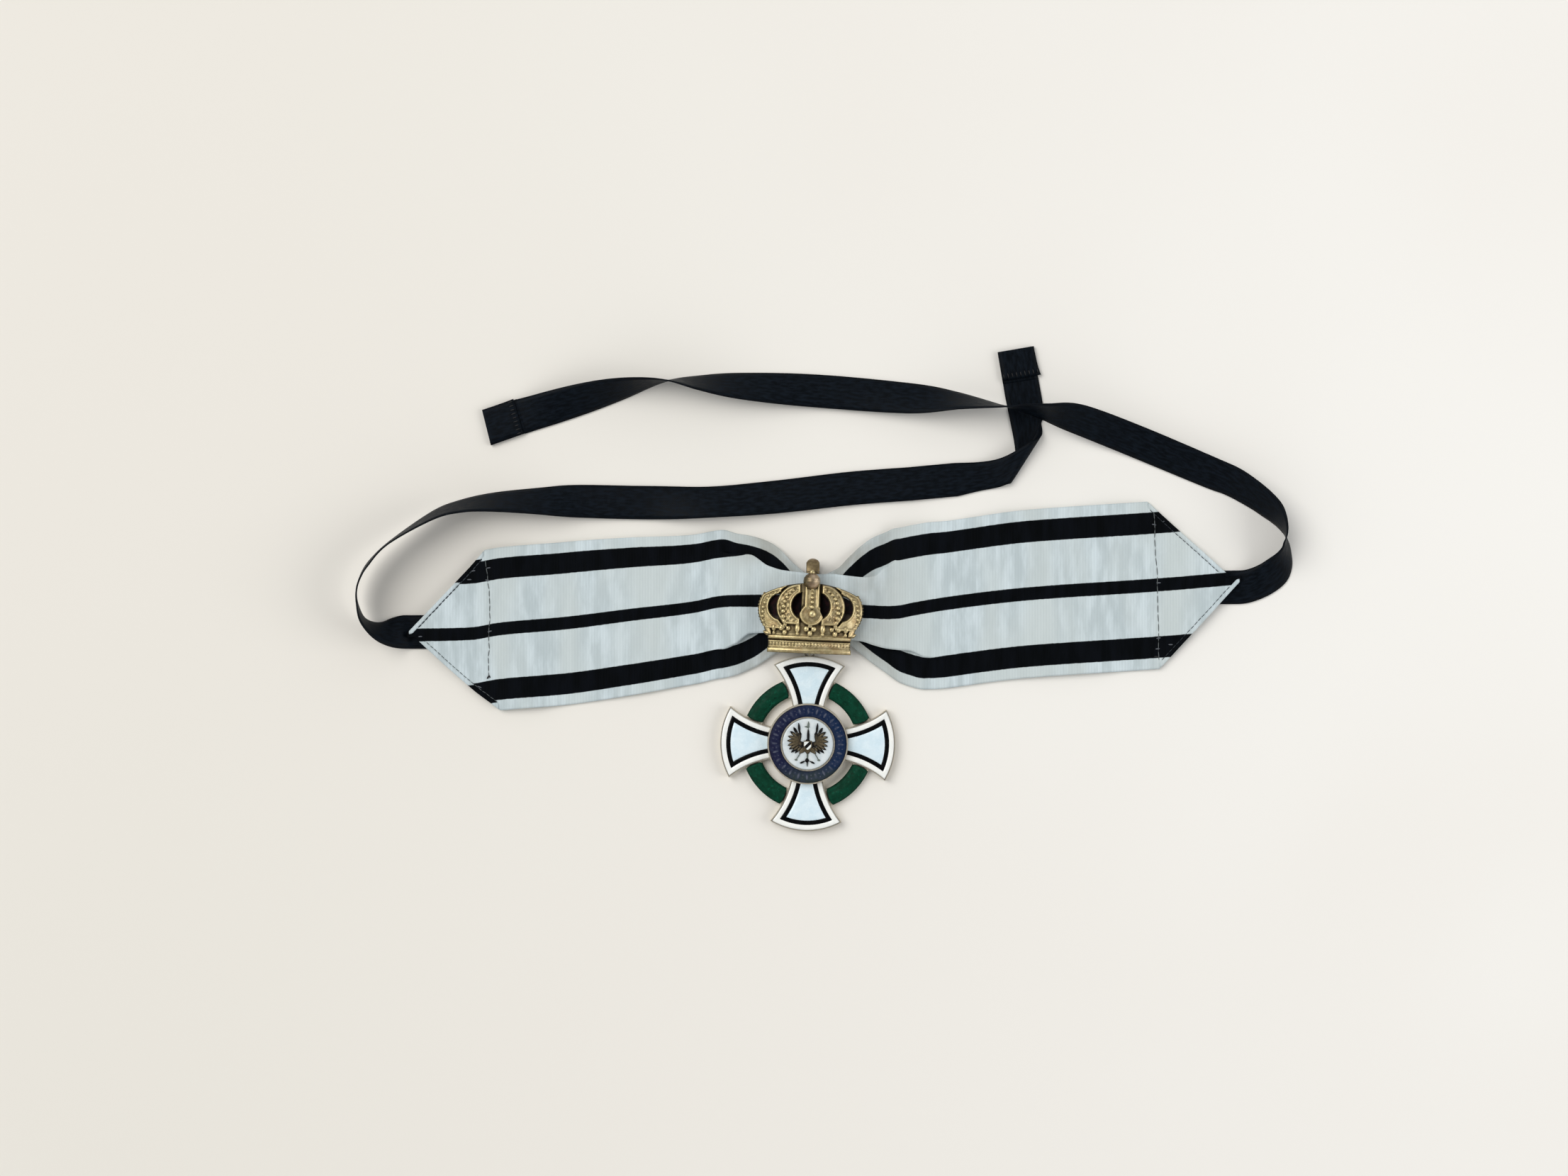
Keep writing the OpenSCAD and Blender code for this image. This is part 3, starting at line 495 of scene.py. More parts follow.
# x, y of the middle, width factor up, width factor down, fold place and hidden depth of the
# upper half, the same two for the lower half, height of the lowest layer
RIBBON_ROWS = np.array([
    [-123.4, 33.5, 0.97, 0.97, 16, 0, 16, 0, 1.75],
    [-113, 33.6, 0.97, 0.97, 16, 0, 16, 0, 1.6],
    [-104, 33.9, 0.97, 0.97, 16, 0, 16, 0, 0.5],
    [-95.5, 35.3, 0.97, 0.97, 16, 0, 16, 0, 0.05],
    [-74.4, 37.2, 0.965, 0.975, 16, 0, 16, 0, 0.05],
    [-55, 39.7, 0.92, 0.96, 15.5, 0, 15.5, 0, 0.05],
    [-34.9, 42.2, 0.86, 0.92, 15, 0, 15.2, 0, 0.05],
    [-27.2, 43.8, 0.85, 0.92, 14.9, 0, 14.7, 0.1, 0.05],
    [-22.6, 44.1, 0.86, 0.93, 14.9, 0.9, 13.7, 0.65, 0.1],
    [-17.7, 44.1, 0.9, 0.95, 14.4, 1.85, 10.4, 1.8, 0.4],
    [-11.9, 44, 0.95, 1, 11, 3.4, 10.1, 4.25, 1],
    [-7.3, 43.7, 1, 1, 10, 5.45, 10, 5.75, 1.4],
    [-4.2, 43.4, 1, 1, 9.9, 6.95, 9.9, 7, 1.7],
    [1.5, 42.7, 1, 1, 9.9, 8.5, 9.4, 8.6, 1.75],
    [9, 41.6, 1, 1, 10.9, 6.85, 9.1, 8.35, 1.6],
    [12.7, 41.1, 1, 1, 10.9, 4.8, 9.3, 7.65, 1.2],
    [16.5, 40.8, 1, 1, 10.8, 2.9, 9.5, 6.35, 0.8],
    [20.3, 40.6, 1, 1, 11.4, 1.5, 10.5, 4.95, 0.4],
    [24.1, 40.4, 1, 1, 14.3, 0.7, 11.3, 3.7, 0.1],
    [28, 40.6, 1, 1, 15.8, 0, 12, 2.2, 0.05],
    [31.6, 41.3, 1, 1, 16, 0, 13, 1.2, 0.05],
    [36, 42.1, 1, 1, 16, 0, 15.4, 0.4, 0.05],
    [44.1, 43.4, 0.98, 1.01, 16, 0, 16.2, 0, 0.05],
    [68.2, 46.2, 1, 1, 16, 0, 16, 0, 0.05],
    [104.7, 48.7, 1, 1, 16, 0, 16, 0, 0.05],
    [114, 49.4, 1, 1, 16, 0, 16, 0, 0.5],
    [123, 50.2, 1, 1, 16, 0, 16, 0, 1.6],
    [133.2, 51.1, 1, 1, 16, 0, 16, 0, 1.75]])


def monotone(xs, ys, x):
    """Smooth interpolation that never overshoots its rows."""
    h = np.diff(xs)
    d = np.diff(ys) / h
    m = np.zeros(len(xs))
    m[0], m[-1] = d[0], d[-1]
    for i in range(1, len(xs) - 1):
        if d[i - 1] * d[i] > 0:
            w1, w2 = 2 * h[i] + h[i - 1], h[i] + 2 * h[i - 1]
            m[i] = (w1 + w2) / (w1 / d[i - 1] + w2 / d[i])
    i = np.clip(np.searchsorted(xs, x) - 1, 0, len(xs) - 2)
    t = np.clip((x - xs[i]) / h[i], 0, 1)
    return (ys[i] * (1 + 2 * t) * (1 - t) ** 2 + h[i] * m[i] * t * (1 - t) ** 2
            + ys[i + 1] * t * t * (3 - 2 * t) + h[i] * m[i + 1] * t * t * (t - 1))


def taper(x, left, right, tip_l, tip_r):
    """Share of the width that is left at a place of a pointed end."""
    if x < left:
        return max(0.03, (x - tip_l) / (left - tip_l))
    if x > right:
        return max(0.03, (tip_r - x) / (tip_r - right))
    return 1.0


# Runs of the places along the ribbon: first, last and count, closer together at the gathers
RIBBON_RUNS = [(-123.9, -98, 30), (-96, -34, 63), (-33.5, 48, 150), (49, 104, 56), (105, 133.7, 32)]
# Steps over the flat part, the hidden layer, each fold and the outer part of one half
FLAT_A, FLAT_B, FOLD_N, OUT_N = 16, 3, 9, 14


def half_section(total, fold, depth):
    """Distance from the middle, height, heading and cloth place of each point of one half."""
    th = radians(max(4.0, 180 * sqrt(min(1.0, depth / (pi * PLEAT_R)))))
    r = max(PLEAT_R, 0.5 / th)
    lp = max(0.0, depth - pi * PLEAT_R)
    sa = fold - 1.05 * min(1.0, depth / 0.6)
    out = [(sa * k / FLAT_A, 0.0, 0.0, sa * k / FLAT_A) for k in range(1, FLAT_A + 1)]
    for k in range(1, FOLD_N + 1):
        a = th * k / FOLD_N
        out.append((sa + r * sin(a), -r * (1 - cos(a)), a, sa + r * a))
    ya, za, _, s = out[-1]
    for k in range(1, FLAT_B + 1):
        q = lp * k / FLAT_B
        out.append((ya + q * cos(th), za - q * sin(th), th, s + q))
    ym, zm, _, s = out[-1]
    for k in range(1, FOLD_N + 1):
        a = th * (1 - k / FOLD_N)
        y, z = ym + r * (sin(th) - sin(a)), zm - r * (cos(a) - cos(th))
        out.append((y, z, a, s + r * (th - a)))
    yc, zc, _, s = out[-1]
    rest = total - s
    for k in range(1, OUT_N + 1):
        out.append((yc + rest * k / OUT_N, zc, 0.0, s + rest * k / OUT_N))
    return np.array(out), 2 * r * (1 - cos(th)) + lp * sin(th)


def waves(x, s):
    """Soft wrinkles of the lying ribbon, in millimetres, fading at the gathers and tips."""
    calm = min(1.0, max(0.0, (abs(x - 2) - 20) / 30)) * min(1.0, max(0.0, min(x + 124, 134 - x) / 30))
    w = 0.35 * sin(x / 9.0 + 0.6 * sin(s / 11.0)) + 0.25 * sin(x / 5.3 + s / 19.0 + 1.0)
    w += 0.9 * exp(-((x + 88 + s * 0.12) / 7.0) ** 2) + 0.8 * exp(-((x - 92 - s * 0.1) / 8.0) ** 2)
    return max(0.0, 0.55 + w * 0.8) * calm


def gather_dip(x, s):
    """Hollows where the cloth gathers towards the crown."""
    right = -0.9 * exp(-((x - 19) / 6.0) ** 2 - (s / 12.0) ** 2)
    left = -0.4 * exp(-((x + 15) / 5.0) ** 2 - ((s - 2) / 12.0) ** 2)
    return right + left


def build_ribbon():
    """The ribbon's sheet, with the places and middle points of its sections."""
    xs = np.concatenate([np.linspace(*run) for run in RIBBON_RUNS])
    rows = RIBBON_ROWS
    mid_pts, normals, places = [], [], []
    for x in xs:
        v = [monotone(rows[:, 0], rows[:, c], x) for c in range(1, 9)]
        up, drop_u = half_section(RIBBON_HALF, v[3] / v[1], v[4])
        dn, drop_d = half_section(RIBBON_HALF, v[5] / v[2], v[6])
        kt, kb = taper(x, *SLANT_UP), taper(x, *SLANT_LOW)
        z = v[7] + 0.28 + max(drop_u, drop_d)
        pts, nrm, uv = [], [], []
        middle = [(0, 0, 0, 0)]
        for half, sign, k, f in ((up[::-1], 1, kt, v[1]), (middle, 1, 1, 1), (dn, -1, kb, v[2])):
            for y, dz, a, s in half:
                lift = waves(x, sign * s) + (gather_dip(x, sign * s) if dz > -0.3 else 0.0)
                pts.append((x, v[0] + sign * k * f * y, z + dz + lift))
                nrm.append((0.0, sign * sin(a), cos(a)))
                uv.append((x, sign * s * k))
        mid_pts.append(pts)
        normals.append(nrm)
        places.append(uv)
    mid_pts, normals, places = np.array(mid_pts), np.array(normals), np.array(places)
    half_wall = normals * CLOTH_T / 2
    top, low = (mid_pts + half_wall).reshape(-1, 3), (mid_pts - half_wall).reshape(-1, 3)
    obj = sheet_mesh("ribbon_cloth", top, low, mid_pts.shape[:2], places.reshape(-1, 2), RIBBON_SILK)
    return obj, xs, mid_pts


# Ties
# x, y, heading of the side, tilt, share of the half width, and height of the lower edge
LEFT_RUN = np.array([
    [-116.5, 34.4, 90, 0, 1, 0], [-120.5, 34.4, 90, 0, 1, 0], [-124.2, 34.4, 90, -5, 1, 0],
    [-129, 34.6, 85, -38, 1, 0.3], [-132.9, 35.7, 66, -70, 1, 1.4], [-136.2, 38.5, 40, -90, 1, 2.8],
    [-137.5, 42.5, 18, -98, 1, 3.8], [-137.9, 46.6, 0, -101, 1, 4.2], [-136.9, 50.8, -18, -101, 1, 4.2],
    [-134.2, 55.5, -35, -102, 1, 4.2], [-127.9, 61.9, -48, -99, 1, 3.9], [-114.9, 70.2, -61, -108, 1, 2.4],
    [-106.6, 73.1, -73, -114, 1, 1.0], [-97, 74.4, -82, -125, 1, 0], [-82.8, 74.8, -89, -143, 1, 0],
    [-70, 74.8, -90, -168, 1, 0], [-50, 74.4, -90, -176, 1, 0], [-30.5, 74.5, -88, -158, 1, 0],
    [-10, 76.1, -84, -168, 1, 0], [13.4, 78.8, -83, -176, 1, 0], [31.6, 80.2, -85, -176, 1, 0]])
# upper edge x, y and its height above the lying cloth, then the lower edge in the same way
LEFT_RISE = np.array([
    [45.4, 86.7, 0, 46.6, 76.4, 0.1], [53.2, 87, 0.5, 53.2, 78, 0], [58.8, 87.9, 1.5, 57, 78.7, 0.1],
    [63.6, 90, 2.9, 59.6, 79.3, 0.5], [68.6, 93.2, 3.8, 61.8, 80.1, 1.3]])
LEFT_DROP = np.array([
    [72.3, 99.1, 0, 63, 82, 0], [73.1, 101.6, 0, 64.3, 86.8, 0], [72.9, 104.2, 0, 64.1, 92, 0],
    [72.4, 107.3, 0, 62.9, 98.6, 0], [71.8, 110.6, 0, 61.3, 106.5, 0], [71.4, 113, 0, 60.5, 111.2, 0],
    [71.2, 113.8, 0.2, 60.3, 112, 0.2], [69.9, 122.8, 0.2, 58.8, 120.9, 0.2]])
# The fold of the left tie: its heading, its radius at both edges, and how far it runs on as it rolls
ROLL_DIR, ROLL_UP, ROLL_LOW, ROLL_SLIP = radians(58), 1.9, 0.65, 1.17
LYING_Z = 0.3
RIGHT_RUN = np.array([
    [126.5, 48.2, 90, 0, 1, 0], [131, 48.2, 90, 0, 1, 0], [135.8, 48.5, 94, 7, 1, 0],
    [140.8, 50.4, 110, 16, 1, 0], [144.7, 53.2, 130, 24, 1, 0], [146.6, 56.3, 147, 43, 1, 0],
    [147.2, 59.5, 163, 61, 1, 0], [147.1, 61.8, 178, 69, 1, 0], [146.9, 64.1, 190, 80, 1, 0],
    [146.2, 66.3, 198, 91, 1, 0],
    [144.9, 68.9, 210, 104, 1, 0], [142.9, 71.8, 219, 119, 1, 0], [140, 74.6, 230, 127, 1, 0],
    [135.7, 77.8, 238, 135, 1, 0], [130.8, 80.8, 243, 143, 1, 0], [124.2, 83.6, 246, 150, 1, 0],
    [102, 92.9, 248, 155, 1, 0.5], [83.6, 99.6, 252, 146, 1, 3], [72.8, 102, 257, 113, 1, 2.4],
    [66, 103.2, 260, 97, 1, 1.8], [60.5, 103.7, 263, 84, 1, 1.4], [46.3, 105.6, 265, 56, 1, 0.3],
    [30.9, 106.6, 265, 22, 1, 0], [5.7, 108.7, 266, 8, 1, 0], [-19.6, 110.2, 266, 34, 1, 0],
    [-33, 111.1, 267, 60, 1, 0], [-44.1, 111.7, 270, 88, 1, 0], [-56.9, 109.4, 281, 122, 1, 0],
    [-70, 106.2, 283, 150, 1, 0], [-83.2, 102.6, 285, 172, 1.02, 0], [-88.6, 101.1, 286, 179, 1.05, 0],
    [-89.4, 100.9, 286, 180, 1.05, 0.2], [-99.3, 97.6, 284, 180, 1.08, 0.2]])


def dense(table, k):
    """A smooth curve through the rows, with k steps from each row to the next."""
    t = np.asarray(table, float)
    n = len(t)
    out = []
    for i in range(n - 1):
        a, b, d, e = t[max(0, i - 1)], t[i], t[i + 1], t[min(n - 1, i + 2)]
        for f in np.arange(k) / k:
            bend = (2 * a - 5 * b + 4 * d - e) * f * f + (3 * b - a - 3 * d + e) * f ** 3
            out.append(0.5 * (2 * b + (d - a) * f + bend))
    out.append(t[-1])
    return np.array(out)


def edges_of(run):
    """Both edge points at each row of a tie that is given by its middle."""
    out = []
    for x, y, side, tilt, half, lift in run:
        h = TAPE_HALF * half
        side, tilt = radians(side), radians(tilt)
        z = LYING_Z + lift + h * abs(sin(tilt))
        w = h * np.array([cos(tilt) * cos(side), cos(tilt) * sin(side), sin(tilt)])
        c = np.array([x, y, z])
        out.append((c + w, c - w))
    return out


def edges_at(rows):
    """Both edge points at each row of a tie that is given by its edges."""
    lift = (0, 0, LYING_Z)
    return [(r[0:3] + lift, r[3:6] + lift) for r in rows]


def rolled(x, y, r, angle):
    """A point carried over the fold by an angle."""
    along, out = ROLL_SLIP * r * angle, r * sin(angle)
    c, s = cos(ROLL_DIR), sin(ROLL_DIR)
    return np.array([x + along * c + out * s, y + along * s - out * c, LYING_Z + r * (1 + cos(angle))])


def roll_of(r, steps):
    return [(rolled(r[0], r[1], ROLL_UP, a), rolled(r[3], r[4], ROLL_LOW, a))
            for a in np.linspace(0, pi, steps + 1)[1:]]


def build_tape(name, pairs, across=9):
    """A tie through pairs of edge points, and its length."""
    pairs = np.array(pairs)
    m = len(pairs)
    steps = np.linalg.norm(np.diff(pairs.mean(axis=1), axis=0), axis=1)
    run = np.concatenate([[0], np.cumsum(steps)])
    top, low, uv = [], [], []
    for i in range(m):
        p, q = pairs[max(0, i - 1)], pairs[min(m - 1, i + 1)]
        n = np.cross(q.sum(axis=0) - p.sum(axis=0), pairs[i][0] - pairs[i][1])
        n /= max(1e-6, np.linalg.norm(n))
        for j in range(across):
            f = j / (across - 1)
            c = pairs[i][0] * (1 - f) + pairs[i][1] * f
            half_wall = n * (TAPE_T / 2 - (0.05 if j in (0, across - 1) else 0.0))
            top.append(c + half_wall)
            low.append(c - half_wall)
            uv.append((run[i], (f - 0.5) * 2 * TAPE_HALF))
    return sheet_mesh(name, top, low, (m, across), uv, TAPE_SATIN, flip=True), run[-1]


ribbon, ribbon_x, ribbon_mid = build_ribbon()
finish_piece(ribbon, "ribbon_silk", "ribbon")
left_pairs = edges_of(dense(LEFT_RUN, 10)) + edges_at(dense(LEFT_RISE, 8)) + roll_of(LEFT_RISE[-1], 24)
left_pairs += edges_at(dense(LEFT_DROP, 8))
right_pairs = edges_of(dense(RIGHT_RUN, 10))
tape_l, left_len = build_tape("tape_left_cloth", left_pairs)
tape_r, right_len = build_tape("tape_right_cloth", right_pairs)
finish_piece(tape_l, "tape_satin", "tape_left")
finish_piece(tape_r, "tape_satin", "tape_right")


# Seams, tacks and hems
def stitch(points, width=0.34):
    """Points and faces of one thread stitch, narrower at its ends."""
    ends = (0, len(points) - 1)
    radii = [width / 2 * (0.45 if i in ends else 1.0) for i in range(len(points))]
    return tube(points, radii, 6, (0, 0, 1.0))


def on_ribbon(x, y):
    """Height of the ribbon's upper face at a place on its pointed ends."""
    i = int(np.clip(np.searchsorted(ribbon_x, x), 1, len(ribbon_x) - 1))
    f = (x - ribbon_x[i - 1]) / (ribbon_x[i] - ribbon_x[i - 1])
    z = [np.interp(-y, -ribbon_mid[k][:, 1], ribbon_mid[k][:, 2]) for k in (i - 1, i)]
    return z[0] * (1 - f) + z[1] * f + CLOTH_T / 2


def seam(name, path, count, material, width=0.2, wobble=0.07, gap=0.06, proud=0.08):
    """A row of hand stitches along a path on the ribbon, none quite in line."""
    path = np.array(path, float)
    run = np.concatenate([[0], np.cumsum(np.hypot(*np.diff(path, axis=0).T))])
    made = []
    drift = 0.0
    for k in range(count):
        f0, f1 = (k + gap / 2) / count, (k + 1 - gap / 2) / count
        next_drift = rng.uniform(-wobble, wobble)
        pts = []
        for t in np.linspace(0, 1, 5):
            s = run[-1] * (f0 + (f1 - f0) * t)
            p = np.array([np.interp(s, run, path[:, c]) for c in (0, 1)])
            ahead, back = [[np.interp(s + d, run, path[:, c]) for c in (0, 1)] for d in (0.5, -0.5)]
            q = np.subtract(ahead, back)
            p += np.array([-q[1], q[0]]) / np.hypot(*q) * (drift * (1 - t) + next_drift * t)
            pts.append((p[0], p[1], on_ribbon(p[0], p[1]) + proud * sin(pi * t) - 0.05))
        drift = next_drift
        made.append(stitch(pts, width))
    return fuse(name, made, material)


def tack(x, y, angle, length=1.3):
    """One short thick stitch."""
    c, s = cos(radians(angle)), sin(radians(angle))
    pts = []
    for t in np.linspace(-0.5, 0.5, 5):
        px, py = x + length * t * c, y + length * t * s
        pts.append((px, py, on_ribbon(px, py) + 0.16 * cos(pi * t) - 0.02))
    return stitch(pts, 0.4)


def hem_lines(x, sign):
    """At a place along the ribbon: its middle, its slanted edge and the inner side of the turned hem."""
    mid = np.interp(x, ribbon_x, ribbon_mid[:, ribbon_mid.shape[1] // 2, 1])
    edge = np.interp(x, ribbon_x, ribbon_mid[:, 0 if sign > 0 else -1, 1])
    half = abs(edge - mid)
    return mid, edge, mid + sign * (half - min(1.7, half * 0.8))


def hem_strip(name, shoulder_x, tip_x, sign, tongue):
    """The turned edge along one slanted side of a pointed end, stitched down at its inner side."""
    rows, uv = [], []
    n, around = 60, 8
    for k in range(n):
        x = tip_x + (shoulder_x - tip_x) * (0.045 + 0.935 * k / (n - 1))
        mid, edge, inner = hem_lines(x, sign)
        outer = edge + sign * 0.12
        swell = 0.04 * sin(k * 0.7) + 0.02 * sin(k * 1.7)
        form = ((0.0, 0.03), (0.25, 0.24 + swell), (0.6, 0.4 + swell), (0.92, 0.3), (1.0, 0.02),
                (0.97, -0.42), (0.5, -0.3), (0.0, -0.2))
        for f, dz in form:
            y = inner + (outer - inner) * f
            rows.append((x, y, on_ribbon(x, y) + dz))
            s = y - mid
            if tongue and abs(s) < 6.5:
                s = sign * (3.0 + abs(s) * 0.3)
            uv.append((x, s))
    faces = grid_faces(n, around, close_cols=True) + end_caps(n, around)
    if sign * (1 if tip_x < shoulder_x else -1) > 0:
        faces = flipped(faces)
    return make_mesh(name, rows, faces, uv, material=RIBBON_SILK)


# For each slanted side: its edge, left or right end, the way up or down, whether its tip is folded
# over pale, its thread and the thread's width
HEMS = [("left_upper", SLANT_UP, 0, 1, True, INK_THREAD, 0.36),
        ("left_lower", SLANT_LOW, 0, -1, False, DARK_THREAD, 0.2),
        ("right_upper", SLANT_UP, 1, 1, False, INK_THREAD, 0.2),
        ("right_lower", SLANT_LOW, 1, -1, True, INK_THREAD, 0.2)]
CROSS_SEAMS = {
    "seam_left_cross": [(-99.6, 56.6), (-98.4, 48.0), (-98.0, 42.5), (-98.4, 34.0), (-98.6, 19.8)],
    "seam_right_cross": [(107.0, 72.0), (107.6, 58.0), (108.3, 47.0), (108.5, 36.0), (108.7, 25.6)]}
# x, y and angle of each small tack in the dark stripes, and the length of the dark ones
TACKS = [(-103.3, 53.3, 10), (-104.5, 50.6, 0), (-98.6, 54.2, 10), (-98.9, 50.4, -10), (-98.2, 34.6, 15),
         (-119.6, 33.0, 5), (-101.4, 17.4, -20), (107.1, 67.6, -10), (110.4, 68.8, 30), (108.5, 49.6, 0),
         (108.5, 32.5, 10), (108.2, 29.2, 5), (112.2, 30.5, 0)]
DARK_TACKS = [(-98.8, 20.4, 60, 1.1), (-98.3, 20.7, 120, 1.0), (107.8, 26.8, 0, 1.4)]
on_cloth = []
for way, slant, end, sign, tongue, thread, width in HEMS:
    shoulder_x, tip_x = slant[end], slant[end + 2]
    slope = shoulder_x - tip_x
    on_cloth.append(hem_strip(f"hem_{way}", shoulder_x, tip_x, sign, tongue))
    seam_x = np.linspace(shoulder_x - slope * 0.03, tip_x + slope * 0.16, 24)
    seam_at = [(x, hem_lines(x, sign)[2] - sign * 0.12) for x in seam_x]
    on_cloth.append(seam(f"seam_{way}", seam_at, 19, thread, width))
for name, path in CROSS_SEAMS.items():
    on_cloth.append(seam(name, path, 16, DARK_THREAD, width=0.26, wobble=0.2, gap=0.03))
on_cloth.append(fuse("bar_tacks", [tack(*t) for t in TACKS], PALE_THREAD))
on_cloth.append(fuse("dark_tacks", [tack(*t) for t in DARK_TACKS], BLACK_THREAD))
for piece in on_cloth:
    finish_piece(piece, "ribbon_silk")


def tab_hem(name, pairs, proud, count):
    """The folded last stretch of a tie: a second layer over the first, sewn across at its start."""
    pairs = np.array(pairs)
    up = np.array([0, 0, TAPE_T + 0.02])
    layer = []
    for k, (p, q) in enumerate(pairs):
        f = 1 - k / (len(pairs) - 1)
        out = (p - q) / np.linalg.norm(p - q)
        layer.append((p + up + out * proud * f * f, q + up))
    hem, _ = build_tape(name, layer)
    layer = np.array(layer)
    a, b = layer[1]
    along = layer[3].mean(axis=0) - layer[0].mean(axis=0)
    along /= np.linalg.norm(along)
    made = []
    bow = np.array((0, 0, 0.12))
    for k in range(count):
        t = (k + 0.5) / count
        c = a * (1 - t) + b * t + along * 0.5 + np.array([0, 0, TAPE_T / 2])
        d = along * 0.75 * (1 if k % 2 else 0.85)
        made.append(stitch([c - d, c - d * 0.4 + bow, c + d * 0.4 + bow, c + d]))
    return hem, fuse(f"{name}_thread", made, BLACK_THREAD)


left_hem, left_thread = tab_hem("tab_hem_left", left_pairs[-9:], 1.0, 9)
right_hem, right_thread = tab_hem("tab_hem_right", right_pairs[-11:], 0.35, 9)
for piece in (left_hem, right_hem, left_thread, right_thread):
    finish_piece(piece, "tape_satin")


# Cross
BORDER_IN, BAND_IN = RIM + BORDER, RIM + BORDER + BAND
ARM_FOOT_R = CENTRE_R - 0.05


def side_w(y, inset):
    """Half the width of the upper arm at a height, inside its side arcs."""
    return SIDE_X - sqrt((SIDE_R + inset) ** 2 - (y - SIDE_Y) ** 2)


def end_y(x, inset):
    """Height of the arm's end arc."""
    return END_Y + sqrt((END_R - inset) ** 2 - x * x)


def tip_corner(inset):
    """Where a side arc meets the end arc."""
    y = 24.0
    for _ in range(30):
        y = end_y(side_w(y, inset), inset)
    return side_w(y, inset), y


def arm_outline(inset, sides=26, ends=22):
    """Right foot, up the right side, over the end, down the left side to the left foot."""
    foot = 11.4
    for _ in range(20):
        foot = sqrt(ARM_FOOT_R ** 2 - side_w(foot, inset) ** 2)
    cx, cy = tip_corner(inset)
    right = [(side_w(y, inset), y) for y in np.linspace(foot, cy, sides)]
    over = [(x, end_y(x, inset)) for x in np.linspace(cx, -cx, ends)[1:-1]]
    return np.array(right + over + [(-x, y) for x, y in right[::-1]])


def strip(name, a, b, base, crown, material, angle, edge=0.3, steps=8):
    """A domed run of enamel between two insets of the arm's outline, closed down to its cell."""
    rows = []
    for t in np.linspace(0, 1, steps + 1):
        ring = arm_outline(a + (b - a) * t)
        z = base + crown * (1 - exp(-min(t, 1 - t) * (b - a) / edge))
        rows.append(np.column_stack([ring, np.full(len(ring), z)]))
    feet = [np.column_stack([r[:, :2], np.full(len(r), CELL_FLOOR)]) for r in (rows[0], rows[-1])]
    rows = [feet[0]] + rows + [feet[1]]
    m, n = len(rows), len(rows[0])
    faces = grid_faces(m, n, close_rows=True)
    faces += [tuple(i * n for i in range(m)), tuple(i * n + n - 1 for i in range(m - 1, -1, -1))]
    return make_mesh(name, turn(np.concatenate(rows), angle), faces, material=material)


def field(name, inset, base, crown, material, angle, nu=24, nv=36):
    """The domed enamel inside the black band, closed down to its cell."""
    verts = []
    for v in np.linspace(0, 1, nv):
        for u in np.linspace(-1, 1, nu):
            y = CENTRE_R + 10 * v
            for _ in range(12):
                x = u * side_w(y, inset)
                y0 = sqrt(ARM_FOOT_R ** 2 - x * x)
                y = y0 + v * (end_y(x, inset) - y0)
            near = min((1 - abs(u)) * side_w(y, inset), (1 - v) * (end_y(x, inset) - CENTRE_R))
            verts.append((x, y, base + crown * (1 - exp(-near / 0.8))))
    rim = grid_rim(nv, nu)
    low = {k: len(verts) + i for i, k in enumerate(rim)}
    verts += [(verts[k][0], verts[k][1], CELL_FLOOR) for k in rim]
    faces = grid_faces(nv, nu) + [(a, b, low[b], low[a]) for a, b in zip(rim, rim[1:] + rim[:1])]
    faces.append(tuple(low[k] for k in rim))
    return make_mesh(name, turn(verts, angle), faces, material=material)


for k, way in enumerate(("up", "left", "down", "right")):
    angle = CROSS_TURN + k * pi / 2
    border = strip(f"glaze_border_{way}", RIM, BORDER_IN, BORDER_Z, BORDER_RISE, WHITE_ENAMEL, angle)
    band = strip(f"glaze_band_{way}", BORDER_IN, BAND_IN, BAND_Z, BAND_RISE, BLACK_ENAMEL, angle)
    middle = field(f"glaze_field_{way}", BAND_IN, FIELD_Z, FIELD_RISE, BLUE_WHITE_ENAMEL, angle)
    finish_piece(border, "white_enamel", f"border_{way}")
    finish_piece(band, "black_enamel", f"band_{way}")
    finish_piece(middle, "white_enamel", f"field_{way}")


# Reliefs: a height over x and y with an exact outline
def lowest(*values):
    return reduce(np.minimum, values)


def highest(*values):
    return reduce(np.maximum, values)


def blurred(values, mask, cells):
    """Gaussian mean of the values over the masked places, with its spread in grid cells."""
    k = np.exp(-0.5 * (np.arange(-3 * cells, 3 * cells + 1) / cells) ** 2)

    def run(a):
        for axis in (0, 1):
            a = np.apply_along_axis(np.convolve, axis, a, k, mode="same")
        return a
    return run(np.where(mask, values, 0.0)) / highest(1e-6, run(mask.astype(float)))


def outline_cells(xs, ys, d):
    """Points, faces and outline runs of the part of the grid where d is above 0."""
    at, points, faces, runs = {}, [], [], []

    def point(key, x, y):
        if key not in at:
            at[key] = len(points)
            points.append((x, y))
        return at[key]

    values = d.tolist()
    for j in range(len(ys) - 1):
        for i in range(len(xs) - 1):
            ring = ((i, j), (i + 1, j), (i + 1, j + 1), (i, j + 1))
            v = [values[q][p] for p, q in ring]
            if max(v) <= 0:
                continue
            poly, cut = [], []
            for k in range(4):
                (p, q), (r, t) = ring[k], ring[(k + 1) % 4]
                a, b = v[k], v[(k + 1) % 4]
                if a > 0:
                    poly.append(point((p, q), xs[p], ys[q]))
                    cut.append(False)
                if (a > 0) != (b > 0):
                    f = min(0.96, max(0.04, a / (a - b)))
                    key = (p, q, r, t) if (p, q) < (r, t) else (r, t, p, q)
                    poly.append(point(key, xs[p] + f * (xs[r] - xs[p]), ys[q] + f * (ys[t] - ys[q])))
                    cut.append(True)
            faces.append(tuple(poly))
            for k in range(len(poly)):
                after = (k + 1) % len(poly)
                if cut[k] and cut[after]:
                    runs.append((poly[k], poly[after]))
    return np.array(points), faces, runs


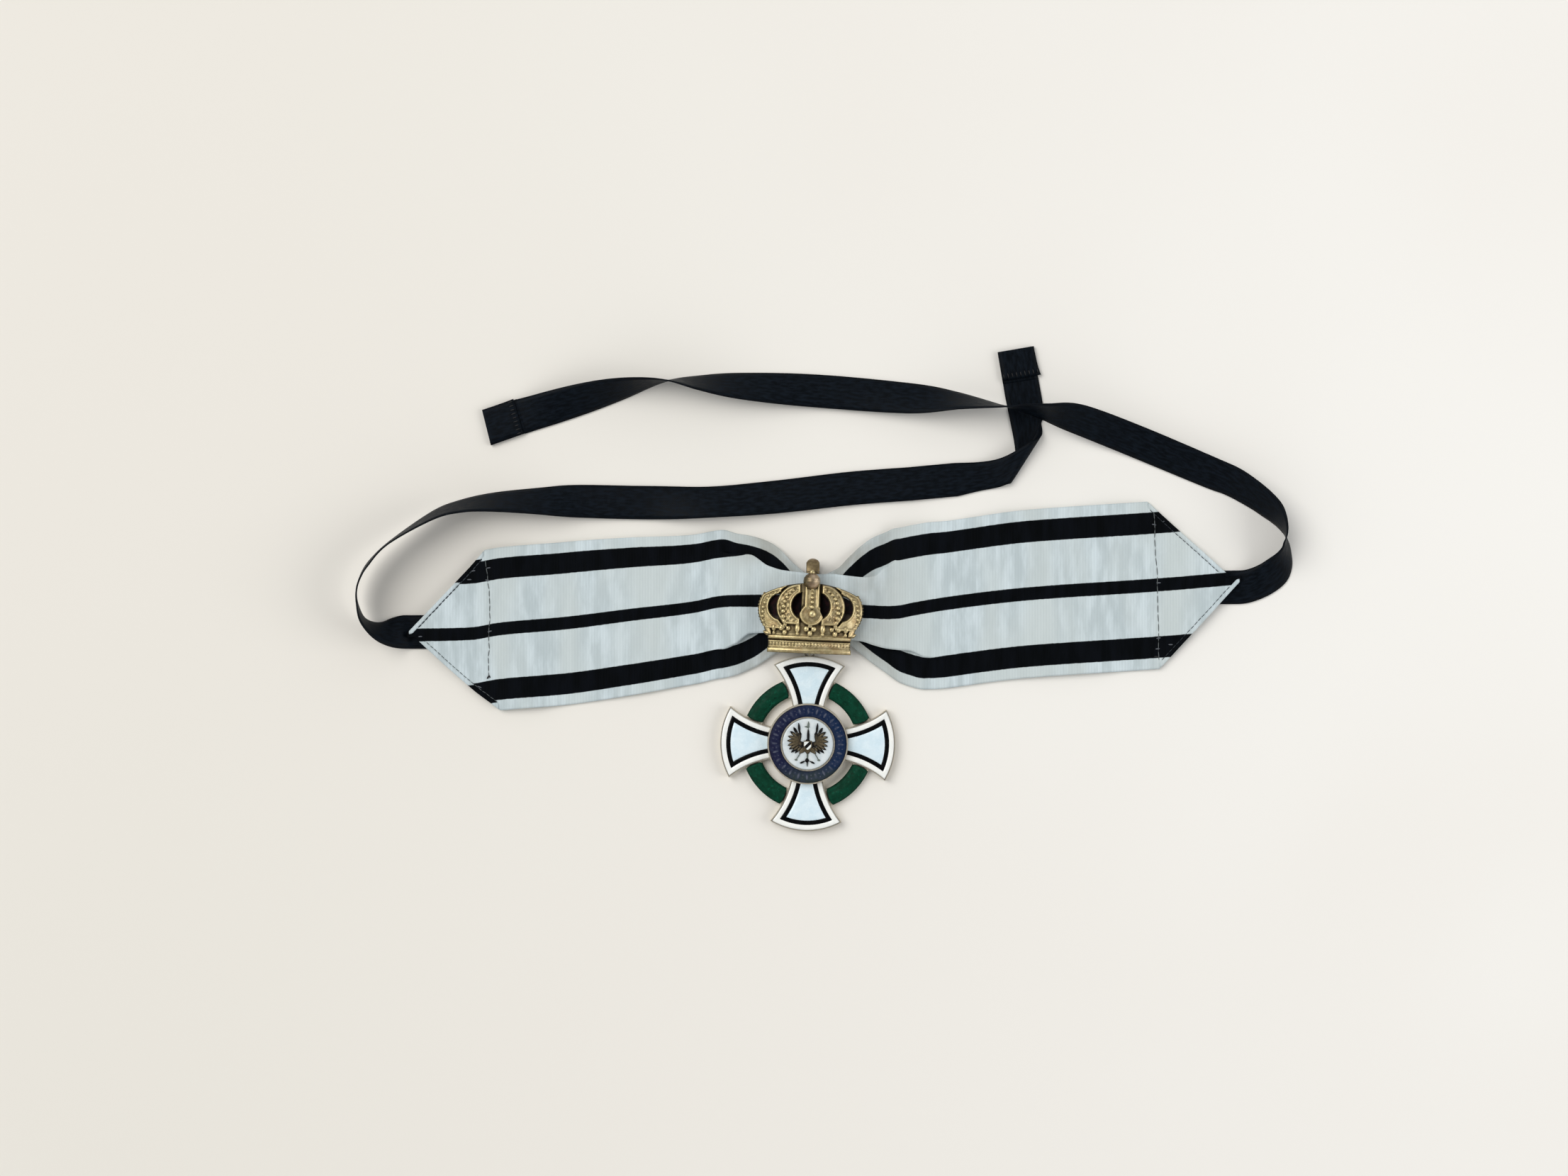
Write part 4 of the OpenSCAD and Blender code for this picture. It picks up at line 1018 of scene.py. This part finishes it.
def relief(name, box, step, inside, height, low, material, edge=0.3, depth=0.5, tone=None, angle=0.0,
           at=(0, 0, 0)):
    """A casting with a flat back: its hollows, ridges and tones are kept on its points for the material."""
    x0, x1, y0, y1 = box
    xs, ys = np.arange(x0, x1 + step, step), np.arange(y0, y1 + step, step)
    gx, gy = np.meshgrid(xs, ys)
    d = inside(gx, gy)
    points, faces, runs = outline_cells(xs, ys, d)
    px, py = points[:, 0], points[:, 1]
    z = height(px, py) - edge * (1 - shoulder(inside(px, py), edge))
    z = highest(z, low + 0.15)
    whole = height(gx, gy) - edge * (1 - shoulder(d, edge))
    relative = (whole - blurred(whole, d > 0, max(2, round(0.7 / step)))) / depth
    iy = np.clip(np.round((py - y0) / step).astype(int), 0, len(ys) - 1)
    ix = np.clip(np.round((px - x0) / step).astype(int), 0, len(xs) - 1)
    near = relative[iy, ix]
    n = len(points)
    verts = np.concatenate([np.column_stack([px, py, z]), np.column_stack([px, py, np.full(n, low)])])
    faces += [tuple(v + n for v in reversed(f)) for f in faces] + [(b, a, a + n, b + n) for a, b in runs]
    obj = make_mesh(name, turn(verts, angle) + np.array(at, float), faces, material=material)
    marks = {"hollow": np.clip(-near, 0, 1), "ridge": np.clip(near, 0, 1)}
    if tone is not None:
        marks["tone"] = tone(px, py)
    for key, values in marks.items():
        layer = obj.data.attributes.new(key, "FLOAT", "POINT")
        layer.data.foreach_set("value", np.concatenate([values, values]).astype(np.float32))
    return obj


def shoulder(d, width):
    """0 outside, rising as a quarter round to 1 at the given distance inside."""
    t = np.clip(d / width, 0, 1)
    return np.sqrt(1 - (1 - t) ** 2)


def ridge(d, at, width):
    """A raised line that follows an outline at a distance inside it."""
    return np.exp(-((d - at) / width) ** 2)


def disc_in(x, y, cx, cy, r):
    return r - np.hypot(x - cx, y - cy)


def oval_in(x, y, cx, cy, rx, ry):
    return (1 - np.sqrt(((x - cx) / rx) ** 2 + ((y - cy) / ry) ** 2)) * min(rx, ry)


def bead(x, y, cx, cy, rx, ry):
    """Height of half an oval bead of radius 1, and far below beside it."""
    q = 1 - ((x - cx) / rx) ** 2 - ((y - cy) / ry) ** 2
    return np.where(q > 0, np.sqrt(highest(q, 0)), -99.0)


def leaf(x, y, fx, fy, heading, length, width, full=1.0):
    """Distance inside a pointed leaf from its foot along its heading, in degrees from +Y to the right."""
    s, c = sin(radians(heading)), cos(radians(heading))
    u, v = (x - fx) * s + (y - fy) * c, (x - fx) * c - (y - fy) * s
    t = np.clip(u / length, 0, 1)
    half = width / 2 * np.sin(pi * t ** full) ** 0.75
    return lowest(half - np.abs(v), u, length - u)


# Crown, in its own frame: x across, y up from the base, z out of its back
# Circles, as x, y and radius, that bound the arches, the shoulders and the top
ARCH_INNER = (1.6, 14.6, 4.2)
ARCH_MIDDLE = (3.6, 14.2, 7.0)
ARCH_OUTER = (9.0, 14.1, 3.9)
SHOULDER = (7.5, 13.2, 8.5)
CROWN_TOP = (0, -8.4, 30)
CENTRE_X = 0.3
BASE_W, BASE_H, BASE_FRONT = 25.2, 5.9, 3.1
BASE_BEADS, BEAD_ROW = 25, BASE_W - 1.6
# Mouldings of the base band: how far they stand out, their height on the band and half their width
MOULDINGS = [(0.85, 0.85, 0.95), (0.34, 1.95, 0.22), (0.36, 3.5, 0.24), (0.8, 4.85, 0.72), (0.3, 5.7, 0.3)]
# Pearls of one side: x, y and radius
MIDDLE_PEARLS = [(8.0, 9.7, 0.7), (8.3, 11.1, 0.8), (8.4, 12.7, 0.75), (8.3, 14.2, 0.72), (8.0, 15.7, 0.68),
                 (7.4, 17.0, 0.62), (6.5, 18.2, 0.55), (5.4, 19.1, 0.5), (4.2, 19.8, 0.45)]
OUTER_PEARLS = [(13.9, 8.2, 0.55), (14.4, 9.5, 0.6), (14.6, 10.9, 0.6), (14.6, 12.3, 0.6),
                (14.5, 13.7, 0.6), (14.1, 15.1, 0.58), (13.3, 16.4, 0.55), (12.2, 17.4, 0.52),
                (10.9, 18.2, 0.5), (9.6, 18.8, 0.45)]
# Pearls of the middle arch: y and radius
CENTRE_PEARLS = [(19.6, 0.45), (18.5, 0.52), (17.2, 0.6), (15.8, 0.66), (14.3, 0.72)]


def crown_dome(x, y):
    """Height of the ball on which the arches lie."""
    return DOME_TOP - DOME_R + np.sqrt(DOME_R ** 2 - x ** 2 - (y - 10) ** 2)


def bow(x, front):
    """Height of a band that bends back to both sides."""
    return front - DOME_R + np.sqrt(DOME_R ** 2 - x ** 2)


def crown_openings(x, y):
    ax = np.abs(x)
    inner = lowest(disc_in(ax, y, *ARCH_INNER), ax - 2.85 - 0.5 * np.clip(13.2 - y, 0, 9))
    return highest(inner, lowest(disc_in(ax, y, *ARCH_OUTER), -disc_in(ax, y, *ARCH_MIDDLE), ax - 9.6))


def crown_body(x, y):
    ax = np.abs(x)
    between = lowest(SHOULDER[0] - ax, SHOULDER[2] - np.abs(y - SHOULDER[1]))
    return lowest(highest(disc_in(ax, y, *SHOULDER), between), disc_in(x, y, *CROWN_TOP))


def side_leaves(x, y):
    ax = np.abs(x)
    return highest(leaf(ax, y, 11.9, 5.2, 30, 4.2, 1.7), leaf(ax, y, 12.3, 5.2, 58, 2.4, 1.2))


def edge_beads():
    """Places of the small beads along the outer edge of one side."""
    made = []
    for k in range(17):
        a = radians(-36 + 6.4 * k)
        x, y = SHOULDER[0] + 8.3 * cos(a), SHOULDER[1] + 8.3 * sin(a)
        if hypot(x, y - CROWN_TOP[1]) < CROWN_TOP[2]:
            made.append((x, y))
    return made


EDGE_BEADS = edge_beads()


def crown_inside(x, y):
    ax = np.abs(x)
    base = lowest(BASE_W / 2 - ax, y, BASE_H - y)
    foot = lowest(BASE_W / 2 + 0.25 - ax, y, 1.5 - y)
    band = lowest(BASE_W / 2 + 0.15 - ax, y - 4.1, 5.4 - y)
    beads = [disc_in(ax, y, px, py, 0.42) for px, py in EDGE_BEADS]
    whole = highest(crown_body(x, y), base, foot, band, side_leaves(x, y), *beads)
    return lowest(whole, -crown_openings(x, y))


def trefoil(x, y, cx, cy, k):
    """A small leaf ornament of four lobes round a hole."""
    lobes = [(0, 1.15, 0.72, 0.95), (-1.05, 0.1, 0.85, 0.85), (1.05, 0.1, 0.85, 0.85), (0, -1.2, 0.75, 0.9)]
    h = highest(*[bead(x, y, cx + k * a, cy + k * b, k * c, k * d) for a, b, c, d in lobes])
    return np.where(np.hypot(x - cx, y - cy - 0.1) < 0.36 * k, lowest(h, 0.15), h)


def crown_height(x, y):
    ax, c = np.abs(x), x - CENTRE_X
    ground = crown_dome(x, y) - 1.15
    shield = lowest(disc_in(c, y, 0, 12.4, 3.9), disc_in(np.abs(c), y, -2.6, 9.4, 7.2))
    centre = highest(lowest(2.35 - np.abs(c), y - 12), shield)
    within = disc_in(ax, y, *ARCH_MIDDLE)
    middle = lowest(-disc_in(ax, y, *ARCH_INNER), within, ax - 3.2, y - 8.7)
    outer = lowest(-disc_in(ax, y, *ARCH_OUTER), -within - 0.25, ax - 7.5, y - 7.2, crown_body(x, y) + 0.15)
    h = ground
    for arch, rim in ((middle, 0.5), (outer, 0.42), (centre, 0.5)):
        rib = rim * ridge(arch, 0.45, 0.32) * (arch > 0)
        h = highest(h, ground + 0.85 * shoulder(arch, 0.55) + rib)
    lace = highest(0, np.sin(ax * 3.4 + 0.6) * np.sin(y * 3.1 + 0.3))
    h = h - 0.22 * lace * (middle > 0.95)
    for px, py, r in MIDDLE_PEARLS + OUTER_PEARLS:
        h = highest(h, crown_dome(px, py) - 0.3 + 1.05 * r * bead(ax, y, px, py, r, r * 0.95))
    for py, r in CENTRE_PEARLS:
        h = highest(h, crown_dome(0, py) - 0.25 + 1.05 * r * bead(c, y, 0, py, r, r * 0.9))
    h = highest(h, crown_dome(0, 12) - 0.1 + 1.05 * bead(c, y, 0.2, 12.2, 1.15, 1.15))
    for px, py in EDGE_BEADS:
        h = highest(h, crown_dome(px, py) - 0.7 + 0.42 * bead(ax, y, px, py, 0.5, 0.48))
    for px, k in ((0.0, 1.05), (7.7, 0.98)):
        h = highest(h, crown_dome(px, 7.4) - 0.75 + 0.85 * trefoil(ax, y, px, 7.5, k))
    for px, ry in ((3.85, 1.45), (11.0, 1.2)):
        h = highest(h, crown_dome(px, 7.4) - 0.8 + 1.0 * bead(ax, y, px, 7.7, 0.85, ry))
        h = highest(h, crown_dome(px, 6.2) - 0.8 + 0.6 * bead(ax, y, px, 6.0, 0.55, 0.7))
    leaves = side_leaves(x, y)
    low_leaf = crown_dome(lowest(ax, 14), 7) - 0.5 + 0.5 * shoulder(leaves, 0.6)
    h = highest(h, np.where(leaves > 0, low_leaf, h))
    return np.where(y < BASE_H, highest(base_height(x, y), np.where(y > 5.5, h, -9)), h)


def base_height(x, y):
    """The base band: a plain lower moulding, low upright beads, a groove and an upper moulding."""
    plain = bow(x, BASE_FRONT)
    h = plain + 0.05
    for tall, at, half in MOULDINGS:
        h = highest(h, plain + tall * bead(0 * x, y, 0, at, 1, half))
    step = BEAD_ROW / (BASE_BEADS - 1)
    place = (x + BEAD_ROW / 2) / step
    local = (place - np.clip(np.round(place), 0, BASE_BEADS - 1)) * step
    worn = 0.55 + 0.45 * np.clip(np.sin(x * 0.42 + 1.4), -0.6, 1)
    h = highest(h, plain + 0.12 + 0.3 * worn * bead(local, y, 0, 2.72, 0.36, 0.62))
    groove = 0.4 * np.exp(-((y - 4.0) / 0.17) ** 2)
    return h - groove


def crown_to_world(points):
    return turn(points, CROWN_TURN) + np.array([CROWN_X, CROWN_Y, CROWN_LIFT])


def ball_mesh(name, centre, r, material, bands=(), rows=36, cols=48):
    """A ball round the crown's upright axis, with raised bands at the given heights."""
    verts = []
    for i in range(1, rows):
        lat = pi * (i / rows - 0.5)
        q = r + sum(0.07 * exp(-((r * sin(lat) - b) / 0.3) ** 2) for b in bands)
        wide, up = q * cos(lat), q * sin(lat)
        verts += [(wide * cos(a), up, wide * sin(a)) for a in ring_turns(cols)]
    low, top, last = len(verts), len(verts) + 1, (rows - 2) * cols
    verts += [(0, -r, 0), (0, r, 0)]
    faces = flipped(grid_faces(rows - 1, cols, close_cols=True))
    faces += [(low, j, (j + 1) % cols) for j in range(cols)]
    faces += [(top, last + (j + 1) % cols, last + j) for j in range(cols)]
    verts = crown_to_world(np.array(verts) + np.array(centre, float))
    return make_mesh(name, verts, faces, material=material)


def crown_rod(name, path, r, closed=False):
    """Round wire along a path in the crown's frame."""
    path = crown_to_world(np.array(path))
    verts, faces = tube(path, [r] * len(path), 12, (0.13, 0.31, 0.94), closed)
    return make_mesh(name, verts, faces, material=GILT)


crown_piece = relief("crown_relief", (-16.8, 16.8, -0.3, 22.8), 0.16, crown_inside, crown_height, 0.0,
                     CROWN_GILT, edge=0.4, depth=0.55, angle=CROWN_TURN,
                     at=(CROWN_X, CROWN_Y, CROWN_LIFT))
finish_piece(crown_piece, "crown_gilt", "crown")
orb = ball_mesh("crown_orb", (0, ORB_Y, BALL_Z), ORB_R, ORB_GILT, bands=(-0.1, 0.9))
finish_piece(orb, "dark_gilt", "crown")
knob = ball_mesh("crown_knob", (0, KNOB_Y, BALL_Z), KNOB_R, CROWN_GILT, rows=20, cols=28)
finish_piece(knob, "crown_gilt", "crown")
eye_at = [(EYE_R * cos(a), EYE_Y + EYE_R * sin(a), EYE_Z) for a in ring_turns(32)]
finish_piece(crown_rod("crown_eye", eye_at, EYE_WIRE, closed=True), "gilt_metal", "crown")
for k, sx in enumerate((-EYE_R, EYE_R)):
    post = [(sx, EYE_Y, z) for z in (EYE_Z, -0.6, 0.2)]
    finish_piece(crown_rod(f"crown_post_{k}", post, POST_WIRE), "gilt_metal", "crown")


def strap(name, path, thick, material, sides=20):
    """A flat strip bent along a path in the Y-Z plane, with a bowed face, and a round end from above."""
    pts = np.array(path, float)
    m = len(pts)
    verts = []
    for i, p in enumerate(pts):
        t = pts[min(m - 1, i + 1)] - pts[max(0, i - 1)]
        t /= np.linalg.norm(t)
        out = np.array([0, t[2], -t[1]])
        for a in ring_turns(sides) + pi / sides:
            u = copysign(abs(cos(a)) ** 0.35, cos(a))
            v = copysign(abs(sin(a)) ** 0.55, sin(a))
            c = p + out * thick / 2 * v * (1.12 - 0.22 * u * u)
            past = max(0.0, c[1] - LOOP_Y - LOOP_END_R)
            half = min(LOOP_W / 2, sqrt(max(0.2, LOOP_END_R ** 2 - past ** 2)))
            verts.append(c + np.array([half * u, 0, 0]))
    faces = grid_faces(m, sides, close_cols=True, flip=True) + flipped(end_caps(m, sides))
    return make_mesh(name, verts, faces, material=material)


# Down behind the base, along under the ribbon, and round over it, as y and z
loop_path = [(32.35, 5.2), (32.35, 4.0), (32.35, 2.5), (32.35, 1.2), (32.5, 0.75), (32.9, 0.62)]
loop_path += [(y, 0.6) for y in np.linspace(33.6, LOOP_Y - 1, 14)]
loop_path += [(LOOP_Y + LOOP_R * cos(a), LOOP_Z + LOOP_R * sin(a))
              for a in np.radians(np.linspace(-90, 88, 60))]
loop_path = [(LOOP_X, y, z) for y, z in loop_path]
crown_strap = finish_piece(strap("crown_strap", loop_path, LOOP_T, LOOP_GILT), "crown_gilt", "crown_loop")


# Eagle with a plain shield, each leaf from its foot to its tip: x, y, x, y, width, place of its widest part
WING_FEATHERS = [(2.5, 2.6, 2.95, 6.5, 0.74, 1.3), (2.8, 2.3, 4.5, 5.15, 0.9, 1.4),
                 (2.9, 1.9, 5.5, 3.85, 0.98, 1.4), (2.9, 1.5, 6.15, 2.3, 1.0, 1.5),
                 (2.9, 1.1, 6.35, 0.85, 0.98, 1.5), (2.7, 0.7, 6.15, -0.6, 0.98, 1.5),
                 (2.4, 0.3, 5.75, -1.75, 0.94, 1.5), (2.0, 0.0, 5.1, -2.75, 0.9, 1.5),
                 (1.4, -0.2, 3.9, -2.95, 0.9, 1.3)]
WING_BONES = [(0.4, -0.7, 3.3, 0.5, 1.7, 1.0), (2.75, -0.3, 2.4, 3.9, 1.1, 1.4),
              (1.9, 3.1, 3.6, 3.0, 0.7, 0.8)]
THIGH = (0.3, -0.7, 2.6, -3.0, 1.5, 0.9)
NECK = (0.15, 0.6, 0.05, 5.2, 0.85, 0.7)
BODY = (0.0, 1.8, 0.0, -3.2, 2.7, 1.0)
HEAD = [(-0.05, 5.4, -1.15, 5.25, 0.42, 0.8), (0.05, 5.2, 0.1, 7.0, 0.62, 0.8)]
TAIL = [(0, -2.2, 0, -4.8, 0.55, 1.0), (-0.1, -4.2, -0.1, -5.8, 1.25, 1.0),
        (0, -5.2, 0, -7.0, 0.5, 0.7)]
TAIL_SIDES = (0.4, -5.1, 2.3, -6.0, 0.62, 1.6)
LEG = (2.0, -2.5, 3.5, -4.9, 0.3, 1.0)
# x, y of the middle and half the size
FOOT = (3.5, -4.9, 0.45, 0.3)


def blade(x, y, form):
    """Distance inside a leaf that is given by its foot and its tip."""
    fx, fy, tx, ty, width, full = form
    heading = degrees(atan2(tx - fx, ty - fy))
    return leaf(x, y, fx, fy, heading, hypot(tx - fx, ty - fy), width, full)


def breast_shield(x, y):
    return lowest(1.3 - np.abs(x), 1.0 - y, disc_in(np.abs(x), y, -0.9, 0.2, 2.35))


def wing_forms(ax, y):
    """Distance inside the feathers of a wing, and inside its rounded middle."""
    bones = [blade(ax, y, form) for form in WING_BONES] + [oval_in(ax, y, 3.65, 0.9, 1.45, 2.0)]
    return [blade(ax, y, form) for form in WING_FEATHERS], highest(*bones)


def eagle_forms(x, y):
    ax = np.abs(x)
    feathers, middle = wing_forms(ax, y)
    forms = feathers + [middle, breast_shield(x, y), disc_in(x, y, 0.0, 5.35, 0.42)]
    forms += [blade(x, y, form) for form in [NECK, BODY] + HEAD + TAIL]
    forms += [blade(ax, y, form) for form in (THIGH, TAIL_SIDES, LEG)]
    forms.append(oval_in(ax, y, *FOOT))
    return forms


def eagle_inside(x, y):
    return highest(*eagle_forms(x, y))


def eagle_height(x, y):
    forms = eagle_forms(x, y)
    h = highest(*[np.where(f > 0, 0.1 + 0.36 * shoulder(f, 0.36), 0.06) for f in forms])
    shield = breast_shield(x, y)
    return 4.46 + np.where(shield > 0, 0.46 + 0.08 * shoulder(shield, 0.2), h)


def eagle_tone(x, y):
    """1 on bared wings, 0 at their tips, 2 on the light of the shield, -1 on the dull head, legs and tail."""
    ax = np.abs(x)
    feathers, middle = wing_forms(ax, y)
    bare = np.clip((highest(*feathers) - 0.1) / 0.12, 0, 1)
    bare = highest(bare, np.clip(middle / 0.7, 0, 1) * 0.7)
    far = np.hypot(ax - 3.9, (y - 0.9) * 0.85) / 2.2
    wing = np.clip(1.35 - far ** 4, 0, 1) * bare * np.clip((ax - 1.4) / 0.6, 0, 1)
    low = np.clip((-0.8 - y) / 0.5, 0, 1) * np.clip((y + 3.2) / 0.6, 0, 1) * 0.75 * (ax < 3)
    tone = highest(wing, low)
    head = np.clip((y - 4.1) / 0.6, 0, 1) * (ax < 1.3)
    leg = np.clip(blade(ax, y, LEG) / 0.03, 0, 1) * (y < -3.0)
    foot = (oval_in(ax, y, *FOOT) > 0) * 1.0
    tail = (y < -3.0) * (y > -4.4) * (ax < 0.6) * 0.7
    tail_tip = (y < -5.7) * (ax < 0.5) * 0.5
    dull = highest(head, leg, foot, tail, tail_tip)
    tone = np.where(dull > 0, -dull, tone)
    shield = breast_shield(x, y)
    light = np.where(np.abs(x - y - 0.35) < 0.62, 0.0, 2.0)
    return np.where(shield > 0.22, light, np.where(shield > 0, 0.9, tone))


eagle = relief("eagle_relief", (-7.0, 7.0, -7.3, 7.2), 0.08, eagle_inside, eagle_height, EAGLE_BACK,
               EAGLE_METAL, edge=0.12, depth=0.25, tone=eagle_tone, angle=CROSS_TURN)
finish_piece(eagle, "dark_gilt", "eagle")


# Wreath: three rows of low leaves on a rounded band
def arm_in(x, y):
    """Distance inside the upper arm of the cross."""
    sides = lowest(np.hypot(x - SIDE_X, y - SIDE_Y), np.hypot(x + SIDE_X, y - SIDE_Y)) - SIDE_R
    return lowest(END_R - np.hypot(x, y - END_Y), sides, y)


WREATH_MID = (WREATH_IN + WREATH_OUT) / 2
WREATH_HALF = (WREATH_OUT - WREATH_IN) / 2
WREATH_BOW = (WREATH_HALF ** 2 + 0.64) / 1.6
# Length and width of a leaf
WREATH_LEAF = (4.3, 1.75)
wreath_leaves = []
for row, turn_out in ((0, -24), (2, 24), (1, 0)):
    for k in range(9):
        a = radians(96 + 8.6 * k + (4.3 if row == 1 else 0))
        r = WREATH_IN + 1.0 + 1.7 * row
        wreath_leaves.append((r * cos(a), r * sin(a), -degrees(a) + turn_out, rng.random()))


def wreath_inside(x, y):
    r = np.hypot(x, y)
    clear = -highest(arm_in(x, y), arm_in(y, -x)) - 0.4
    return lowest(r - WREATH_IN, WREATH_OUT - r, clear, -x, y)


def wreath_height(x, y):
    r = np.hypot(x, y)
    band = 2.55 - WREATH_BOW + np.sqrt(highest(0.1, WREATH_BOW ** 2 - (r - WREATH_MID) ** 2))
    lift = np.zeros_like(band)
    for fx, fy, heading, tall in wreath_leaves:
        d = leaf(x, y, fx, fy, heading, *WREATH_LEAF)
        vein = 0.02 * np.exp(-((d - 0.82) / 0.12) ** 2)
        lift = highest(lift, np.where(d > 0, (0.03 + 0.04 * tall) + 0.08 * shoulder(d, 0.7) - vein, 0))
    return band - 0.06 + 0.7 * lift


def wreath_tone(x, y):
    """A tone of its own for each leaf."""
    tone = np.full_like(x, 0.25)
    best = np.zeros_like(x)
    for fx, fy, heading, tall in wreath_leaves:
        d = leaf(x, y, fx, fy, heading, *WREATH_LEAF)
        tone = np.where(d > best, tall, tone)
        best = highest(best, d)
    return tone


for k, way in enumerate(("up_left", "down_left", "down_right", "up_right")):
    quarter = relief(f"wreath_leaves_{way}", (-20.9, -3.4, 3.4, 20.9), 0.15, wreath_inside, wreath_height,
                     WREATH_BACK, GREEN_ENAMEL, edge=0.3, depth=0.28, tone=wreath_tone,
                     angle=CROSS_TURN + k * pi / 2)
    finish_piece(quarter, "green_enamel", f"wreath_{way}")


# Round centre: domed ring with a plain pattern of leaves and dots, and a domed disc
RING_LEAVES = 24


def ring_inside(x, y):
    r = np.hypot(x, y)
    return lowest(r - DISC_R - 0.35, CENTRE_R - 0.4 - r)


def ring_marks(x, y):
    """Distance inside the small leaves and the dots between them."""
    r, turns = np.hypot(x, y), np.arctan2(y, x) * RING_LEAVES / (2 * pi)
    across = (turns - np.round(turns)) * 2 * pi / RING_LEAVES * r
    between = (turns - np.floor(turns) - 0.5) * 2 * pi / RING_LEAVES * r
    leaves = leaf(across, r, 0, 9.25, 0, 1.9, 0.75)
    dots = highest(disc_in(between, r, 0, 9.7, 0.24), disc_in(between, r, 0, 10.75, 0.24))
    return highest(leaves, dots)


def ring_height(x, y):
    r = np.hypot(x, y)
    return 4.33 + 0.13 * (1 - ((r - RING_MID) / RING_HALF) ** 2) + 0.06 * shoulder(ring_marks(x, y), 0.2)


def ring_tone(x, y):
    return np.clip(ring_marks(x, y) / 0.15, 0, 1)


ring_piece = relief("ring_glaze", (-12.2, 12.2, -12.2, 12.2), 0.15, ring_inside, ring_height, RING_BACK,
                    RING_ENAMEL, edge=0.08, depth=0.14, tone=ring_tone, angle=CROSS_TURN)
finish_piece(ring_piece, "blue_enamel", "motto_ring")


def disc_mesh(name, r, low, high, rise, material, rings=20, cols=96):
    """A disc with a softly domed top and rounded edge."""
    verts = [(0, 0, high + rise)]
    for i in range(1, rings + 1):
        q = r * i / rings
        z = high + rise * (1 - (q / r) ** 2) - 0.12 * (1 - float(shoulder(np.array(r - q), 0.3)))
        verts += [(q * cos(a), q * sin(a), z) for a in ring_turns(cols)]
    verts += [(r * cos(a), r * sin(a), low) for a in ring_turns(cols)]
    faces = [(0, 1 + j, 1 + (j + 1) % cols) for j in range(cols)]
    faces += flipped(grid_faces(rings + 1, cols, close_cols=True, base=1))
    faces.append(tuple(1 + rings * cols + j for j in range(cols))[::-1])
    return make_mesh(name, verts, faces, material=material)


disc = disc_mesh("disc_glaze", DISC_R - 0.02, RING_BACK, DISC_Z, DISC_RISE, DISC_ENAMEL)
finish_piece(disc, "white_enamel", "centre_disc")

# Finish of the CAD pieces that stay
KEPT_NODES = {"cross_frame": RIM_METAL, "centre_cup": RIM_METAL, "link": GILT, "crown_lining": DARK_LINING}
for node, material in KEPT_NODES.items():
    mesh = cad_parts[node].data
    mesh.materials.clear()
    mesh.materials.append(material)


# Camera, floor and lights
def floor_material():
    """Pale paper, with painted light that makes it a little greyer to the left."""
    g = Graph("pale_floor")
    p = g.coords()
    # Painted light: greyer to the left, paler to the right.
    tone = g.mix(g.ramp(g.part(p, 0), -250.0, 250.0), srgb(230, 226, 217), srgb(241, 239, 234))
    tone = g.mix(g.ramp(g.noise(p, 0.004, 2.0), 0.4, 0.6, 0.0, 0.3), tone, srgb(232, 227, 219))
    g.set(Base_Color=tone, Roughness=0.65, Specular_IOR_Level=0.2,
          Normal=g.bump(g.noise(p, 2.0, 2.0), 0.00001, 0.3))
    return g.mat


camera_data = bpy.data.cameras.new("camera")
camera = bpy.data.objects.new("camera", camera_data)
bpy.context.scene.collection.objects.link(camera)
camera_data.lens, camera_data.sensor_width = 50, 36
camera_data.clip_start, camera_data.clip_end = 0.01, 10
camera.location = [v * MM for v in CAMERA_AT]
bpy.context.scene.camera = camera

corners = [(x * FLOOR_HALF, y * FLOOR_HALF, 0) for x, y in ((-1, -1), (1, -1), (1, 1), (-1, 1))]
floor = make_mesh("floor", corners, [(0, 1, 2, 3)], smooth=False)
floor.data.materials.append(floor_material())


def area_light(name, place, size, power, colour):
    """A round soft light that looks at the badge, in metres and watts."""
    data = bpy.data.lights.new(name, "AREA")
    data.shape, data.size, data.energy, data.color = "DISK", size, power, colour
    obj = bpy.data.objects.new(name, data)
    bpy.context.scene.collection.objects.link(obj)
    obj.location = place
    obj.rotation_euler = (AIM - Vector(place)).to_track_quat("-Z", "Y").to_euler()


area_light("key", (-1.8, 1.2, 2.6), size=2.8, power=79, colour=(1.0, 0.985, 0.96))
area_light("fill", (1.5, -0.1, 0.9), size=1.2, power=10, colour=(1.0, 0.99, 0.97))
bpy.context.scene.view_settings.view_transform = "Standard"
world = bpy.data.worlds.new("world")
bpy.context.scene.world = world
world.use_nodes = True
sky = world.node_tree
sky_at = sky.nodes.new("ShaderNodeTexCoord")
sky_sep = sky.nodes.new("ShaderNodeSeparateXYZ")
sky_ramp = sky.nodes.new("ShaderNodeMapRange")
sky_ramp.interpolation_type = "SMOOTHSTEP"
for socket, value in ((1, 0.3), (2, 0.98), (3, SKY_LOW), (4, SKY_TOP)):
    sky_ramp.inputs[socket].default_value = value
sky.links.new(sky_at.outputs["Generated"], sky_sep.inputs[0])
sky.links.new(sky_sep.outputs[2], sky_ramp.inputs[0])
sky.links.new(sky_ramp.outputs[0], sky.nodes["Background"].inputs[1])
sky.nodes["Background"].inputs[0].default_value = (0.95, 0.97, 1.0, 1.0)
